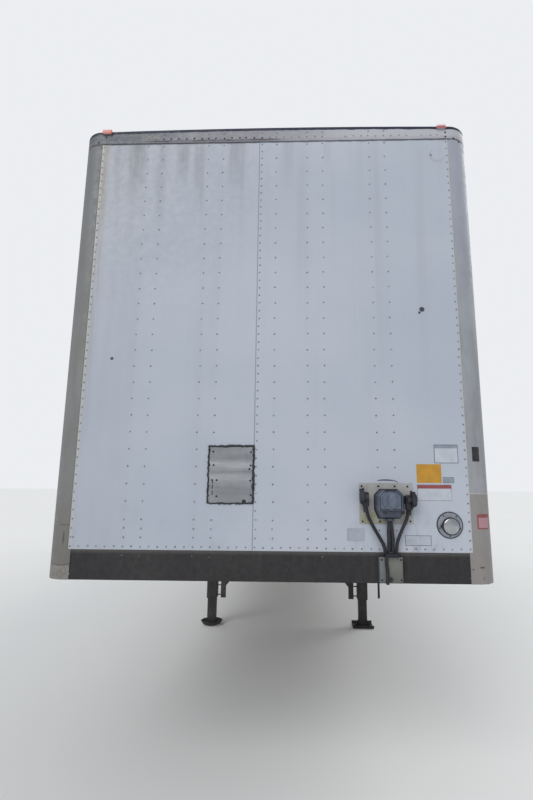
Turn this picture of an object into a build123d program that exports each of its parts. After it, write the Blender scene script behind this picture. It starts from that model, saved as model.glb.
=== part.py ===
from build123d import *
import math
import os

os.makedirs("parts", exist_ok=True)

# A 53 ft sheet-and-post van semi trailer, parked on its landing legs.
# Millimetres. +Z is up, the front wall faces -Y, and +X is the trailer's left side.
# The origin is on the ground, at the centre of the overall box.

# Front wall fittings that set how far the nose stands out
skin_inset = 4  # posts and rails stand this proud of the skins
plate_thick = 5
box_depth = 62
socket_depth = 36

# Overall box
nose_reach = plate_thick + box_depth + socket_depth - skin_inset  # ahead of the front posts
length = 16154  # front wall face to rear frame face
width = 2591
height = 4115
rail_crown = 16  # rise of the roof's end rails at the middle
tail_reach = 80  # what stands behind the rear frame face
half_width = width / 2
front_y = (nose_reach - tail_reach - length) / 2
rear_y = front_y + length

# Levels
floor_top = 1320
floor_thick = 35
beam_depth = 102
beam_top = floor_top - floor_thick
beam_bottom = beam_top - beam_depth
coupler_bottom = 1208
bolster_top = 1375
top_rail_depth = 111
top_rail_bottom = height - top_rail_depth
rail_top = height - rail_crown

# Body shell
side_thick = 30
front_thick = 50
post_width = 140
post_radius = 127
post_flange = 20
post_foot_rounds = {1: 6, -1: 34}  # lower outer corner, by side
post_wall = skin_inset + side_thick
skin_y = front_y + skin_inset
wall_back_y = skin_y + front_thick
corner_back_y = front_y + post_width
panel_edge_x = half_width - post_width
rail_web = 8
rail_step = 12
bottom_rail_top = floor_top + 63
rail_inner_x = half_width - rail_web - rail_step
roof_thick = 6
roof_drop = 3
bow_depth = 30
bow_pitch = 610
beam_pitch = 305
beam_flange = 57
beam_wall = 6
rear_frame_depth = 120
body_back_y = rear_y - rear_frame_depth

# Coupler and kingpin
coupler_length = 1650
coupler_half_width = 1100
coupler_plate = 8
coupler_rib = 60
kingpin_setback = 914
kingpin_neck_r = 25.4
kingpin_collar_r = 36.5
kingpin_head_r = 35.7
kingpin_collar = 35
kingpin_neck = 35
kingpin_head = 14
kingpin_flange_r = 92
kingpin_flange = 16
kingpin_seat_gap = 0.3

# Landing gear
leg_setback = 3580
leg_spacing = 1915
leg_tube = 127
leg_inner = 102
leg_split = 328  # lower end of the outer tube
shoe_side = 254
shoe_plate = 10
dish_radius = 135
crank_x = leg_spacing / 2 + 190
crank_low = 368
shaft_z = 930
rod_r = 8

# Wheels and axles
tyre_radius = 510
tyre_width = 280
rim_radius = 286
rim_width = 210
dual_spacing = 330
track = 1968
tyre_inner_x = (track - dual_spacing - tyre_width) / 2
tyre_outer_x = (track + dual_spacing + tyre_width) / 2
axle_spacing = 1244.6
axle_setback = kingpin_setback + 12192  # rear axle behind the front wall
axle_tube_r = 63.5
spindle_r = 40
hub_r = 95
drum_r = 228
rear_axle_y = front_y + axle_setback
axle_ys = {"front": rear_axle_y - axle_spacing, "rear": rear_axle_y}
axle_z = tyre_radius

# Sliding bogie
slide_clear = 59  # between the tyres and the body slide rails
slide_web = 10
slide_x = tyre_inner_x - slide_clear - slide_web  # inner face of the slide rail's web
slide_depth = 118
slide_flange = 90
hole_pitch = 152.4
hole_r = 17
pin_r = 15
pin_z = beam_bottom - 75
bogie_rail_width = 80
bogie_rail_depth = 105
bogie_gap = 8
pad_gap = 0.3
bogie_front = 640  # ahead of the front axle
bogie_back = 600  # behind the rear axle
travel_forward_holes = 6
travel_back_holes = 12
bogie_x = slide_x - bogie_gap - bogie_rail_width / 2
bogie_front_y = axle_ys["front"] - bogie_front
bogie_back_y = axle_ys["rear"] + bogie_back

# Rear doors
frame_post = 50
header_depth = 130
opening_x = half_width - frame_post
opening_top = height - header_depth
door_gap = 5
door_thick = 25
door_inset = 3
door_face_y = rear_y - door_inset
pin_x = half_width - 27.5
pin_stand = 52
pin_y = rear_y + pin_stand
knuckle_r = 14
hinge_pin_r = 8
knuckle_height = 40
hinge_count = 5
hinge_low = floor_top + 133
hinge_high = opening_top - 120
hinge_zs = [hinge_low + index * (hinge_high - hinge_low) / (hinge_count - 1) for index in range(hinge_count)]


def block(x, y, z, mode=Mode.ADD):
    """A box between two places on each axis."""
    with Locations((sum(x) / 2, sum(y) / 2, sum(z) / 2)):
        Box(x[1] - x[0], y[1] - y[0], z[1] - z[0], mode=mode)


def patch(x, y, mode=Mode.ADD):
    """A rectangle between two places on each sketch axis."""
    with Locations((sum(x) / 2, sum(y) / 2)):
        Rectangle(x[1] - x[0], y[1] - y[0], mode=mode)


def facing_front(y):
    """A plane across the trailer at y, with its normal to the front."""
    return Plane.XZ.offset(-y)


def above_crown():
    """What stands above the low arc that the roof's end rails follow."""
    beyond = half_width + rail_crown
    with BuildSketch() as outline:
        with BuildLine():
            ThreePointArc((-half_width, rail_top), (0, height), (half_width, rail_top))
            Line((half_width, rail_top), (beyond, rail_top))
            Line((beyond, rail_top), (beyond, height + rail_crown))
            Line((beyond, height + rail_crown), (-beyond, height + rail_crown))
            Line((-beyond, height + rail_crown), (-beyond, rail_top))
            Line((-beyond, rail_top), (-half_width, rail_top))
        make_face()
    return outline.sketch


def finish(piece, name):
    """Name a finished piece and write it."""
    piece.part.label = name
    export_step(piece.part, f"parts/{name}.step")


# Front wall skin and lining, one panel as thick as the whole wall
with BuildPart() as front_wall:
    block((-panel_edge_x, panel_edge_x), (skin_y, wall_back_y), (bolster_top, top_rail_bottom))
finish(front_wall, "front_wall")

# Repair plate riveted over the skin
patch_x = (-355, -86)
patch_z = (1638, 1970)
patch_thick = 3
with BuildPart() as patch_plate:
    block(patch_x, (skin_y - patch_thick, skin_y), patch_z)
finish(patch_plate, "patch_plate")

# Front corner posts and front top rail share one rounded outline
def corner_outline(side):
    """One rounded corner in plan, as thick as the side wall and its rail."""
    inner_r = post_radius - post_wall
    round_x = half_width - post_radius
    round_y = front_y + post_radius
    inner_x = half_width - post_wall
    inner_y = front_y + post_wall
    diagonal = 0.5 ** 0.5
    outer_mid = (side * (round_x + post_radius * diagonal), round_y - post_radius * diagonal)
    inner_mid = (side * (round_x + inner_r * diagonal), round_y - inner_r * diagonal)
    with BuildSketch() as outline:
        with BuildLine():
            Line((side * panel_edge_x, front_y), (side * round_x, front_y))
            ThreePointArc((side * round_x, front_y), outer_mid, (side * half_width, round_y))
            Line((side * half_width, round_y), (side * half_width, corner_back_y))
            Line((side * half_width, corner_back_y), (side * inner_x, corner_back_y))
            Line((side * inner_x, corner_back_y), (side * inner_x, round_y))
            ThreePointArc((side * inner_x, round_y), inner_mid, (side * round_x, inner_y))
            Line((side * round_x, inner_y), (side * panel_edge_x, inner_y))
            Line((side * panel_edge_x, inner_y), (side * panel_edge_x, front_y))
        make_face()
    return outline.sketch


for side, side_name in ((1, "left"), (-1, "right")):
    with BuildPart() as corner_post:
        with BuildSketch(Plane.XY.offset(coupler_bottom)):
            add(corner_outline(side))
        extrude(amount=top_rail_bottom - coupler_bottom)
        flange_x = sorted((side * panel_edge_x, side * (panel_edge_x - post_flange)))
        block(flange_x, (front_y, skin_y), (coupler_bottom, bolster_top))
        foot_round = post_foot_rounds[side]
        round_x = side * (half_width - foot_round)
        with BuildSketch(facing_front(front_y)):
            patch(sorted((round_x, side * (half_width + skin_inset))), (coupler_bottom, coupler_bottom + foot_round))
            with Locations((round_x, coupler_bottom + foot_round)):
                Circle(foot_round, mode=Mode.SUBTRACT)
        extrude(amount=-post_width, mode=Mode.SUBTRACT)
    finish(corner_post, f"corner_post_{side_name}")

cap_round = 14
with BuildPart() as front_top_rail:
    with BuildSketch(Plane.XY.offset(top_rail_bottom)):
        add(corner_outline(1))
        add(corner_outline(-1))
        patch((-panel_edge_x, panel_edge_x), (front_y, front_y + post_wall))
    extrude(amount=top_rail_depth)
    with BuildSketch(facing_front(front_y)):
        add(above_crown())
    extrude(amount=-post_width, mode=Mode.SUBTRACT)
    top_edges = front_top_rail.faces().sort_by(Axis.Z)[-1].edges()
    outer_edges = top_edges.filter_by(
        lambda e: all(v.Y < front_y + 1 or abs(v.X) > half_width - 1 for v in e.vertices())
    )
    fillet(outer_edges, radius=cap_round)
finish(front_top_rail, "front_top_rail")

# Side walls, and the extruded rails that frame them
for side, side_name in ((1, "left"), (-1, "right")):
    inner_x = side * (half_width - post_wall)
    with BuildPart() as side_wall:
        wall_x = sorted((inner_x, side * (half_width - skin_inset)))
        block(wall_x, (corner_back_y, body_back_y), (floor_top, top_rail_bottom))
    finish(side_wall, f"side_wall_{side_name}")

    with BuildPart() as top_rail:
        with BuildSketch(facing_front(corner_back_y)) as rail_profile:
            patch(sorted((inner_x, side * half_width)), (top_rail_bottom, rail_top))
            top_corners = rail_profile.vertices().group_by(Axis.Y)[-1].sort_by(Axis.X)
            fillet(top_corners[-1 if side > 0 else 0], radius=cap_round)
        extrude(amount=corner_back_y - body_back_y)
    finish(top_rail, f"top_rail_{side_name}")

    with BuildPart() as bottom_rail:
        with BuildSketch(facing_front(corner_back_y)):
            with BuildLine():
                Polyline(
                    (side * half_width, bottom_rail_top),
                    (side * half_width, beam_top - rail_step),
                    (side * (half_width - rail_step), beam_top - 2 * rail_step),
                    (side * (half_width - rail_step), beam_bottom),
                    (side * rail_inner_x, beam_bottom),
                    (side * rail_inner_x, floor_top),
                    (side * (half_width - skin_inset), floor_top),
                    (side * (half_width - skin_inset), bottom_rail_top),
                    close=True,
                )
            make_face()
        extrude(amount=corner_back_y - body_back_y)
    finish(bottom_rail, f"bottom_rail_{side_name}")

# Roof sheet, flush inside the rails, with rounded front corners
roof_top = rail_top - roof_drop
roof_bottom = roof_top - roof_thick
roof_half = half_width - post_wall
with BuildPart() as roof:
    with BuildSketch(Plane.XY.offset(roof_bottom)) as roof_plan:
        patch((-roof_half, roof_half), (front_y + post_wall, body_back_y))
        fillet(roof_plan.vertices().group_by(Axis.Y)[0], radius=post_radius - post_wall)
    extrude(amount=roof_thick)
finish(roof, "roof")

# Hat-section roof bows between the top rails
bow_half = 32
bow_lip = 14
bow_count = int((body_back_y - corner_back_y - bow_pitch / 2) / bow_pitch)
with BuildPart() as roof_bows:
    with BuildSketch(Plane.YZ.offset(-roof_half)):
        for index in range(bow_count):
            bow_y = corner_back_y + bow_pitch / 2 + index * bow_pitch
            bow_low = roof_bottom - bow_depth
            with BuildLine():
                Polyline(
                    (bow_y - bow_half - bow_lip, roof_bottom),
                    (bow_y - bow_half - bow_lip, roof_bottom - 3),
                    (bow_y - bow_half, roof_bottom - 3),
                    (bow_y - bow_half / 2, bow_low),
                    (bow_y + bow_half / 2, bow_low),
                    (bow_y + bow_half, roof_bottom - 3),
                    (bow_y + bow_half + bow_lip, roof_bottom - 3),
                    (bow_y + bow_half + bow_lip, roof_bottom),
                    close=True,
                )
            make_face()
    extrude(amount=2 * roof_half)
finish(roof_bows, "roof_bows")

# Hardwood floor, narrower between the corner posts
with BuildPart() as floor:
    with BuildSketch(Plane.XY.offset(beam_top)):
        patch((-rail_inner_x, rail_inner_x), (corner_back_y, body_back_y))
        patch((-panel_edge_x, panel_edge_x), (wall_back_y, corner_back_y))
    extrude(amount=floor_thick)
finish(floor, "floor")

# Crossmembers, one I-section repeated behind the coupler
coupler_back_y = wall_back_y + coupler_length
beam_count = int((body_back_y - coupler_back_y - beam_pitch / 2) / beam_pitch)
beam_ys = [coupler_back_y + beam_pitch * (index + 0.5) for index in range(beam_count)]
with BuildPart() as crossmembers:
    with BuildSketch(Plane.YZ.offset(-rail_inner_x)):
        for beam_y in beam_ys:
            patch((beam_y - beam_flange / 2, beam_y + beam_flange / 2), (beam_bottom, beam_bottom + beam_wall))
            patch((beam_y - beam_wall / 2, beam_y + beam_wall / 2), (beam_bottom, beam_top))
            patch((beam_y - beam_flange / 2, beam_y + beam_flange / 2), (beam_top - beam_wall, beam_top))
    extrude(amount=2 * rail_inner_x)
finish(crossmembers, "crossmembers")

# Front bolster, a steel channel below the front wall
bolster_web = 8
with BuildPart() as front_bolster:
    with BuildSketch(Plane.YZ.offset(-panel_edge_x)):
        patch((skin_y, skin_y + bolster_web), (coupler_bottom, bolster_top))
        patch((skin_y, wall_back_y), (coupler_bottom, coupler_bottom + bolster_web))
        patch((skin_y, wall_back_y), (bolster_top - bolster_web, bolster_top))
    extrude(amount=2 * panel_edge_x)
finish(front_bolster, "front_bolster")

# Upper coupler: bottom plate with ribs up to the floor
kingpin_y = front_y + kingpin_setback
rib_wall = 10
rib_top = beam_top
with BuildPart() as upper_coupler:
    block(
        (-coupler_half_width, coupler_half_width),
        (wall_back_y, coupler_back_y),
        (coupler_bottom, coupler_bottom + coupler_plate),
    )
    for rib_y in (corner_back_y + 60, kingpin_y - 260, kingpin_y + 260, coupler_back_y - 360, coupler_back_y - 5):
        block(
            (-rail_inner_x, rail_inner_x),
            (rib_y - rib_wall / 2, rib_y + rib_wall / 2),
            (coupler_bottom + coupler_plate, rib_top),
        )
        block(
            (-rail_inner_x, rail_inner_x),
            (rib_y - coupler_rib / 2, rib_y + rib_wall / 2),
            (rib_top - rib_wall, rib_top),
        )
    for rib_x in (-680, -230, 230, 680):
        block(
            (rib_x - rib_wall / 2, rib_x + rib_wall / 2),
            (wall_back_y, coupler_back_y),
            (coupler_bottom, rib_top),
        )
    with BuildSketch(Plane.XY.offset(coupler_bottom)):
        with Locations((0, kingpin_y)):
            Circle(kingpin_collar_r + kingpin_seat_gap)
    extrude(amount=coupler_plate, mode=Mode.SUBTRACT)
finish(upper_coupler, "upper_coupler")

# Kingpin: a flange on the coupler plate, then collar, neck and lower head below it, turned about its own axis
plate_top = coupler_bottom + coupler_plate
neck_top = coupler_bottom - kingpin_collar
neck_low = neck_top - kingpin_neck
kingpin_low = neck_low - kingpin_head
with BuildPart() as kingpin:
    with BuildSketch(Plane.XZ.offset(-kingpin_y)):
        with BuildLine():
            Polyline(
                (0, plate_top + kingpin_flange),
                (kingpin_flange_r, plate_top + kingpin_flange),
                (kingpin_flange_r, plate_top),
                (kingpin_collar_r, plate_top),
                (kingpin_collar_r, neck_top),
                (kingpin_neck_r, neck_top),
                (kingpin_neck_r, neck_low),
                (kingpin_head_r, neck_low),
                (kingpin_head_r, kingpin_low),
                (0, kingpin_low),
                close=True,
            )
        make_face()
    revolve(axis=Axis((0, kingpin_y, 0), (0, 0, 1)))
finish(kingpin, "kingpin")

# Connector plate, nose box and couplings on the front wall
plate_x = (524, 830)
plate_z = (1530, 1759)
plate_y = skin_y - plate_thick
with BuildPart() as connector_plate:
    block(plate_x, (plate_y, skin_y), plate_z)
finish(connector_plate, "connector_plate")

box_centre_x = 690.5
box_z = (1560, 1726)
box_half = 83.5
box_foot_half = 62
box_corner = 34
socket_z = 1661
socket_r = 46
hose_stand = 25  # hose centres ahead of the connector plate
gland_r = 25
gland_low = 1550
with BuildPart() as nose_box:
    with BuildSketch(facing_front(plate_y)):
        with BuildLine():
            Polyline(
                (box_centre_x - box_foot_half, box_z[0]),
                (box_centre_x + box_foot_half, box_z[0]),
                (box_centre_x + box_half, box_z[0] + box_corner * 1.5),
                (box_centre_x + box_half, box_z[1] - box_corner),
                (box_centre_x + box_half - box_corner, box_z[1]),
                (box_centre_x - box_half + box_corner, box_z[1]),
                (box_centre_x - box_half, box_z[1] - box_corner),
                (box_centre_x - box_half, box_z[0] + box_corner * 1.5),
                close=True,
            )
        make_face()
    extrude(amount=box_depth, taper=6)
    with BuildSketch(facing_front(plate_y - box_depth)):
        with Locations((box_centre_x, socket_z)):
            Circle(socket_r)
    extrude(amount=socket_depth, taper=4)
    with BuildSketch(Plane.XY.offset(gland_low)):
        with Locations((box_centre_x, plate_y - hose_stand)):
            Circle(gland_r)
    extrude(amount=40)
finish(nose_box, "nose_box")

# Two gladhands, each an elbow with its sealing disc and coupling ears to the side
gladhand_places = ((556, 1681, -1), (799, 1665, 1))  # x, z, side that the disc faces
disc_r = 38
disc_reach = (10, 36)  # from the elbow's middle, to the side
elbow_r = 15
ear_thick = 9
ear_tall = 52
gladhand_stand = 62
port_r = 12
port_drop = 36
with BuildPart() as gladhands:
    for hand_x, hand_z, hand_side in gladhand_places:
        with BuildSketch(facing_front(plate_y)):
            with Locations((hand_x, hand_z)):
                Circle(elbow_r)
        extrude(amount=gladhand_stand)
        with BuildSketch(Plane.YZ.offset(hand_x)):
            with Locations((plate_y - gladhand_stand, hand_z)):
                Circle(elbow_r)
        extrude(amount=hand_side * disc_reach[0])
        with BuildSketch(Plane.YZ.offset(hand_x + hand_side * disc_reach[0])):
            with Locations((plate_y - gladhand_stand, hand_z)):
                Circle(disc_r)
        extrude(amount=hand_side * (disc_reach[1] - disc_reach[0]))
        with BuildSketch(Plane.YZ.offset(hand_x + hand_side * disc_reach[0])):
            with Locations((plate_y - gladhand_stand + disc_r / 2, hand_z)):
                SlotOverall(2 * ear_tall, disc_r, rotation=90)
        extrude(amount=hand_side * ear_thick)
        with BuildSketch(facing_front(plate_y)):
            patch((hand_x - 20, hand_x + 20), (hand_z - 24, hand_z + 24))
        extrude(amount=8)
        with BuildSketch(Plane.XY.offset(hand_z - port_drop)):
            with Locations((hand_x, plate_y - hose_stand)):
                Circle(port_r)
        extrude(amount=port_drop)
finish(gladhands, "gladhands")

# Document holder lid and flange
holder_x = 1033
holder_z = 1526.5
holder_flange_r = 75
holder_lid_r = 50
with BuildPart() as document_holder:
    with BuildSketch(facing_front(skin_y)):
        with Locations((holder_x, holder_z)):
            Circle(holder_flange_r)
    extrude(amount=7)
    with BuildSketch(facing_front(skin_y - 7)):
        with Locations((holder_x + 3, holder_z)):
            Circle(holder_lid_r)
    extrude(amount=20, taper=12)
finish(document_holder, "document_holder")

# Aluminium cover over the hoses where they pass the bolster
cover_x = (625, 754)
cover_z = (coupler_bottom + 11, 1353)
cover_depth = 42
clamp_x = (656, 728)
clamp_depth = 60
clamp_top = 1375
with BuildPart() as hose_cover:
    block(cover_x, (skin_y - cover_depth, skin_y), cover_z)
    fillet(hose_cover.edges().filter_by(Axis.Z).group_by(Axis.Y)[0], radius=8)
    block(clamp_x, (skin_y - clamp_depth, skin_y), (cover_z[1], clamp_top))
finish(hose_cover, "hose_cover")

# Marker lamps on the front top rail, and two along each bottom rail
marker_z = height - 33
marker_xs = (171 - half_width, half_width - 179.5)
side_lamp_z = beam_bottom + 39
side_lamp_thick = 9
side_lamp_x = half_width - rail_step
with BuildPart() as marker_lamps:
    for lamp_x in marker_xs:
        with BuildSketch(facing_front(front_y)):
            with Locations((lamp_x, marker_z)):
                SlotOverall(62, 21)
        extrude(amount=12, taper=10)
    for side in (1, -1):
        with BuildSketch(Plane.YZ.offset(side * side_lamp_x)):
            with Locations((corner_back_y + 130, side_lamp_z), ((corner_back_y + body_back_y) / 2, side_lamp_z)):
                SlotOverall(66, 24)
        extrude(amount=side * side_lamp_thick)
finish(marker_lamps, "marker_lamps")

# Air hoses and the cable loom, from their couplings down to the clamp, and one hose on over the cover
hose_r = 9.5
loom_r = 20
hose_y = plate_y - hose_stand
drop_y = skin_y - cover_depth - hose_r - 2
hose_routes = (  # radius, y, then x and z of each point
    (hose_r, hose_y, ((556, 1645), (556, 1600), (584, 1516), (632, 1450), (660, 1410), (660, clamp_top))),
    (loom_r, hose_y, ((690.5, gland_low), (690.5, 1505), (694, 1455), (691, 1415), (691, clamp_top))),
    (hose_r, hose_y, ((799, 1629), (799, 1581), (770, 1510), (737, 1450), (722, 1408), (722, clamp_top))),
    (hose_r, drop_y, ((661, cover_z[1]), (661, 1318), (666, 1278), (666, 1238), (664, coupler_bottom + 4))),
)
with BuildPart() as air_lines:
    for tube_r, line_y, route in hose_routes:
        points = [Vector(x, line_y, z) for x, z in route]
        runs = [after - before for before, after in zip(points, points[1:])]
        radii = []
        for before, after in zip(runs, runs[1:]):
            half_turn = math.radians(before.get_angle(after) / 2)
            radii.append(0.45 * min(before.length, after.length) / math.tan(half_turn))
        with BuildLine() as path:
            FilletPolyline(*points, radius=radii)
        with BuildSketch(Plane(origin=points[0], z_dir=(0, 0, -1))):
            Circle(tube_r)
        sweep(path=path.line)
finish(air_lines, "air_lines")

# Landing legs: square outer tube with its gearbox, inner tube and shoe
leg_y = front_y + leg_setback
gearbox_height = 230
gearbox_extra = 22
bracket_thick = 10
bracket_width = 330
brace_low_z = 390
brace_deep = 60
brace_reach = 620
brace_y = leg_y - 35
brace_bar_zs = (361, 475)
gusset_x = (48, 112)  # inboard of the leg tube
gusset_z = (329, 522)
gusset_thick = 12
for side, side_name in ((1, "left"), (-1, "right")):
    leg_x = side * leg_spacing / 2
    inner_face = leg_x - side * leg_tube / 2
    with BuildPart() as leg:
        with BuildSketch(Plane.XY.offset(leg_split)):
            with Locations((leg_x, leg_y)):
                RectangleRounded(leg_tube, leg_tube, 10)
        extrude(amount=beam_bottom - leg_split)
        block(
            (leg_x - leg_tube / 2, leg_x + leg_tube / 2),
            (leg_y - leg_tube / 2 - gearbox_extra, leg_y + leg_tube / 2),
            (shaft_z - gearbox_height / 2, shaft_z + gearbox_height / 2),
        )
        with BuildSketch(Plane.YZ.offset(inner_face - bracket_thick / 2)):
            with BuildLine():
                Polyline(
                    (leg_y - bracket_width / 2, beam_bottom),
                    (leg_y + bracket_width / 2, beam_bottom),
                    (leg_y + bracket_width / 2, beam_bottom - 90),
                    (leg_y + leg_tube / 2, beam_bottom - 260),
                    (leg_y - leg_tube / 2, beam_bottom - 260),
                    (leg_y - bracket_width / 2, beam_bottom - 90),
                    close=True,
                )
            make_face()
        extrude(amount=bracket_thick)
        for bar_z in brace_bar_zs:
            block(
                sorted((inner_face, inner_face - side * gusset_x[1])),
                (brace_y, brace_y + gusset_thick),
                (bar_z, bar_z + gusset_thick),
            )
        with BuildSketch(facing_front(brace_y)):
            patch(
                sorted((inner_face - side * gusset_x[0], inner_face - side * gusset_x[1])),
                gusset_z,
            )
        extrude(amount=-gusset_thick)
        with BuildSketch(facing_front(brace_y - 5)):
            with BuildLine():
                Polyline(
                    (inner_face - side * gusset_x[0], brace_low_z),
                    (inner_face - side * gusset_x[0], brace_low_z + brace_deep),
                    (inner_face - side * brace_reach, beam_bottom),
                    (inner_face - side * (brace_reach + brace_deep), beam_bottom),
                    close=True,
                )
            make_face()
        extrude(amount=-20)
    finish(leg, f"leg_{side_name}")

    with BuildPart() as foot:
        with BuildSketch(Plane.XY.offset(shoe_plate)):
            with Locations((leg_x, leg_y)):
                Rectangle(leg_inner, leg_inner)
        extrude(amount=leg_split - shoe_plate)
        if side > 0:
            with BuildSketch(Plane.YZ.offset(leg_x - shoe_side / 2)):
                with BuildLine():
                    Polyline(
                        (leg_y - shoe_side / 2, 34),
                        (leg_y - shoe_side / 2 + 26, 0),
                        (leg_y + shoe_side / 2 - 26, 0),
                        (leg_y + shoe_side / 2, 34),
                        (leg_y + shoe_side / 2 - 8, 40),
                        (leg_y + shoe_side / 2 - 32, shoe_plate),
                        (leg_y - shoe_side / 2 + 32, shoe_plate),
                        (leg_y - shoe_side / 2 + 8, 40),
                        close=True,
                    )
                make_face()
            extrude(amount=shoe_side)
            with BuildSketch(facing_front(leg_y - 8)):
                with BuildLine():
                    Polyline(
                        (leg_x - leg_inner / 2 - 48, shoe_plate),
                        (leg_x + leg_inner / 2 + 48, shoe_plate),
                        (leg_x + leg_inner / 2, 92),
                        (leg_x - leg_inner / 2, 92),
                        close=True,
                    )
                make_face()
            extrude(amount=-16)
        else:
            with BuildSketch(Plane.XZ.offset(-leg_y)):
                with BuildLine():
                    Polyline(
                        (leg_x, 0),
                        (leg_x + 70, 0),
                        (leg_x + 112, 16),
                        (leg_x + dish_radius, 50),
                        (leg_x + dish_radius - 9, 54),
                        (leg_x + 104, 26),
                        (leg_x + 68, 12),
                        (leg_x, 12),
                        close=True,
                    )
                make_face()
            revolve(axis=Axis((leg_x, leg_y, 0), (0, 0, 1)))
    finish(foot, f"foot_{side_name}")

# Cross shaft between the gearboxes and the stowed crank
shaft_reach = leg_spacing / 2 - leg_tube / 2 - bracket_thick / 2
with BuildPart() as cross_shaft:
    with BuildSketch(Plane.YZ.offset(-shaft_reach)):
        with Locations((leg_y, shaft_z)):
            Circle(16)
    extrude(amount=2 * shaft_reach)
finish(cross_shaft, "cross_shaft")

crank_points = (
    (leg_spacing / 2 + leg_tube / 2, leg_y, shaft_z),
    (crank_x, leg_y, shaft_z),
    (crank_x, leg_y - 150, 640),
    (crank_x, leg_y - 150, crank_low),
)
with BuildPart() as crank:
    with BuildLine() as crank_path:
        FilletPolyline(*crank_points, radius=30)
    with BuildSketch(Plane(origin=crank_points[0], z_dir=(1, 0, 0))):
        Circle(rod_r)
    sweep(path=crank_path.line)
finish(crank, "crank")

# Body slide rails under the crossmembers, with the row of lock-pin holes
slide_front_y = bogie_front_y - travel_forward_holes * hole_pitch - 60
slide_back_y = bogie_back_y + travel_back_holes * hole_pitch + 60
front_pin_y = bogie_front_y + 200
rear_pin_y = front_pin_y + 12 * hole_pitch
hole_count = travel_forward_holes + 12 + travel_back_holes + 1
first_hole_y = front_pin_y - travel_forward_holes * hole_pitch
with BuildPart() as slide_rails:
    for side in (1, -1):
        with BuildSketch(facing_front(slide_front_y)):
            patch(
                sorted((side * slide_x, side * (slide_x + slide_web))),
                (beam_bottom - slide_depth, beam_bottom),
            )
            patch(
                sorted((side * (slide_x + slide_web), side * (slide_x + slide_web - slide_flange))),
                (beam_bottom - slide_web, beam_bottom),
            )
        extrude(amount=slide_front_y - slide_back_y)
    with BuildSketch(Plane.YZ.offset(-slide_x - 2 * slide_web)):
        for index in range(hole_count):
            with Locations((first_hole_y + index * hole_pitch, pin_z)):
                RegularPolygon(hole_r, 8, major_radius=False)
    extrude(amount=2 * slide_x + 4 * slide_web, mode=Mode.SUBTRACT)
finish(slide_rails, "slide_rails")

# Rear frame: posts, header and sill in one welding, with the hinge butts and cam keepers
sill_bottom = beam_bottom - 20
butt_height = 26
butt_gap = 1
rod_places = (330, 930)  # lock rods, from the hinge pin
cam_clear = 10
cam_half = 26
rod_centre_y = rear_y + 25
header_cam_z = opening_top + 45
sill_cam_z = floor_top - 60
with BuildPart() as rear_frame:
    block((-half_width, half_width), (body_back_y, rear_y), (sill_bottom, floor_top))
    block((-half_width, half_width), (body_back_y, rear_y), (opening_top, height))
    with BuildSketch(facing_front(body_back_y)):
        add(above_crown())
    extrude(amount=-rear_frame_depth, mode=Mode.SUBTRACT)
    for side in (1, -1):
        block(sorted((side * opening_x, side * half_width)), (body_back_y, rear_y), (floor_top, opening_top))
        for hinge_z in hinge_zs:
            for butt_side in (1, -1):
                butt_low = hinge_z + butt_side * (knuckle_height / 2 + butt_gap + butt_height / 2) - butt_height / 2
                with BuildSketch(Plane.XY.offset(butt_low)):
                    with Locations((side * pin_x, pin_y)):
                        Circle(knuckle_r)
                    patch((side * pin_x - knuckle_r, side * pin_x + knuckle_r), (rear_y, pin_y))
                extrude(amount=butt_height)
            with BuildSketch(Plane.XY.offset(hinge_z - knuckle_height)):
                with Locations((side * pin_x, pin_y)):
                    Circle(hinge_pin_r)
            extrude(amount=2 * knuckle_height)
        for rod_place in rod_places:
            for cam_z in (header_cam_z, sill_cam_z):
                for cheek in (1, -1):
                    cheek_x = side * (pin_x - rod_place) + cheek * (cam_half + cam_clear + 4)
                    block((cheek_x - 4, cheek_x + 4), (rear_y, rear_y + 34), (cam_z - 28, cam_z + 28))
finish(rear_frame, "rear_frame")

# Tail lamps in the sill, clearance lamps in the header, and the rear side lamps
lamp_thick = 9
sill_lamp_z = sill_bottom + 62
sill_lamp_xs = (half_width - 115.5, half_width - 235.5)
header_lamp_xs = (0, 160, half_width - 70.5)
with BuildPart() as rear_lamps:
    for lamp_x in sorted({side * x for x in sill_lamp_xs for side in (1, -1)}):
        with BuildSketch(facing_front(rear_y)):
            with Locations((lamp_x, sill_lamp_z)):
                Circle(51)
        extrude(amount=-lamp_thick)
    for lamp_x in sorted({side * x for x in header_lamp_xs for side in (1, -1)}):
        with BuildSketch(facing_front(rear_y)):
            with Locations((lamp_x, height - 36)):
                SlotOverall(80, 26)
        extrude(amount=-lamp_thick)
    for side in (1, -1):
        with BuildSketch(Plane.YZ.offset(side * side_lamp_x)):
            with Locations((body_back_y - 150, side_lamp_z)):
                SlotOverall(66, 24)
        extrude(amount=side * side_lamp_thick)
finish(rear_lamps, "rear_lamps")

# Rubber dock bumpers on the sill
bumper_x = (700, 900)
bumper_z = (sill_bottom + 8, sill_bottom + 60)
with BuildPart() as dock_bumpers:
    for side in (1, -1):
        block(sorted((side * bumper_x[0], side * bumper_x[1])), (rear_y, rear_y + tail_reach), bumper_z)
    fillet(dock_bumpers.edges().filter_by(Axis.X).group_by(Axis.Y)[-1], radius=14)
finish(dock_bumpers, "dock_bumpers")

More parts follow.
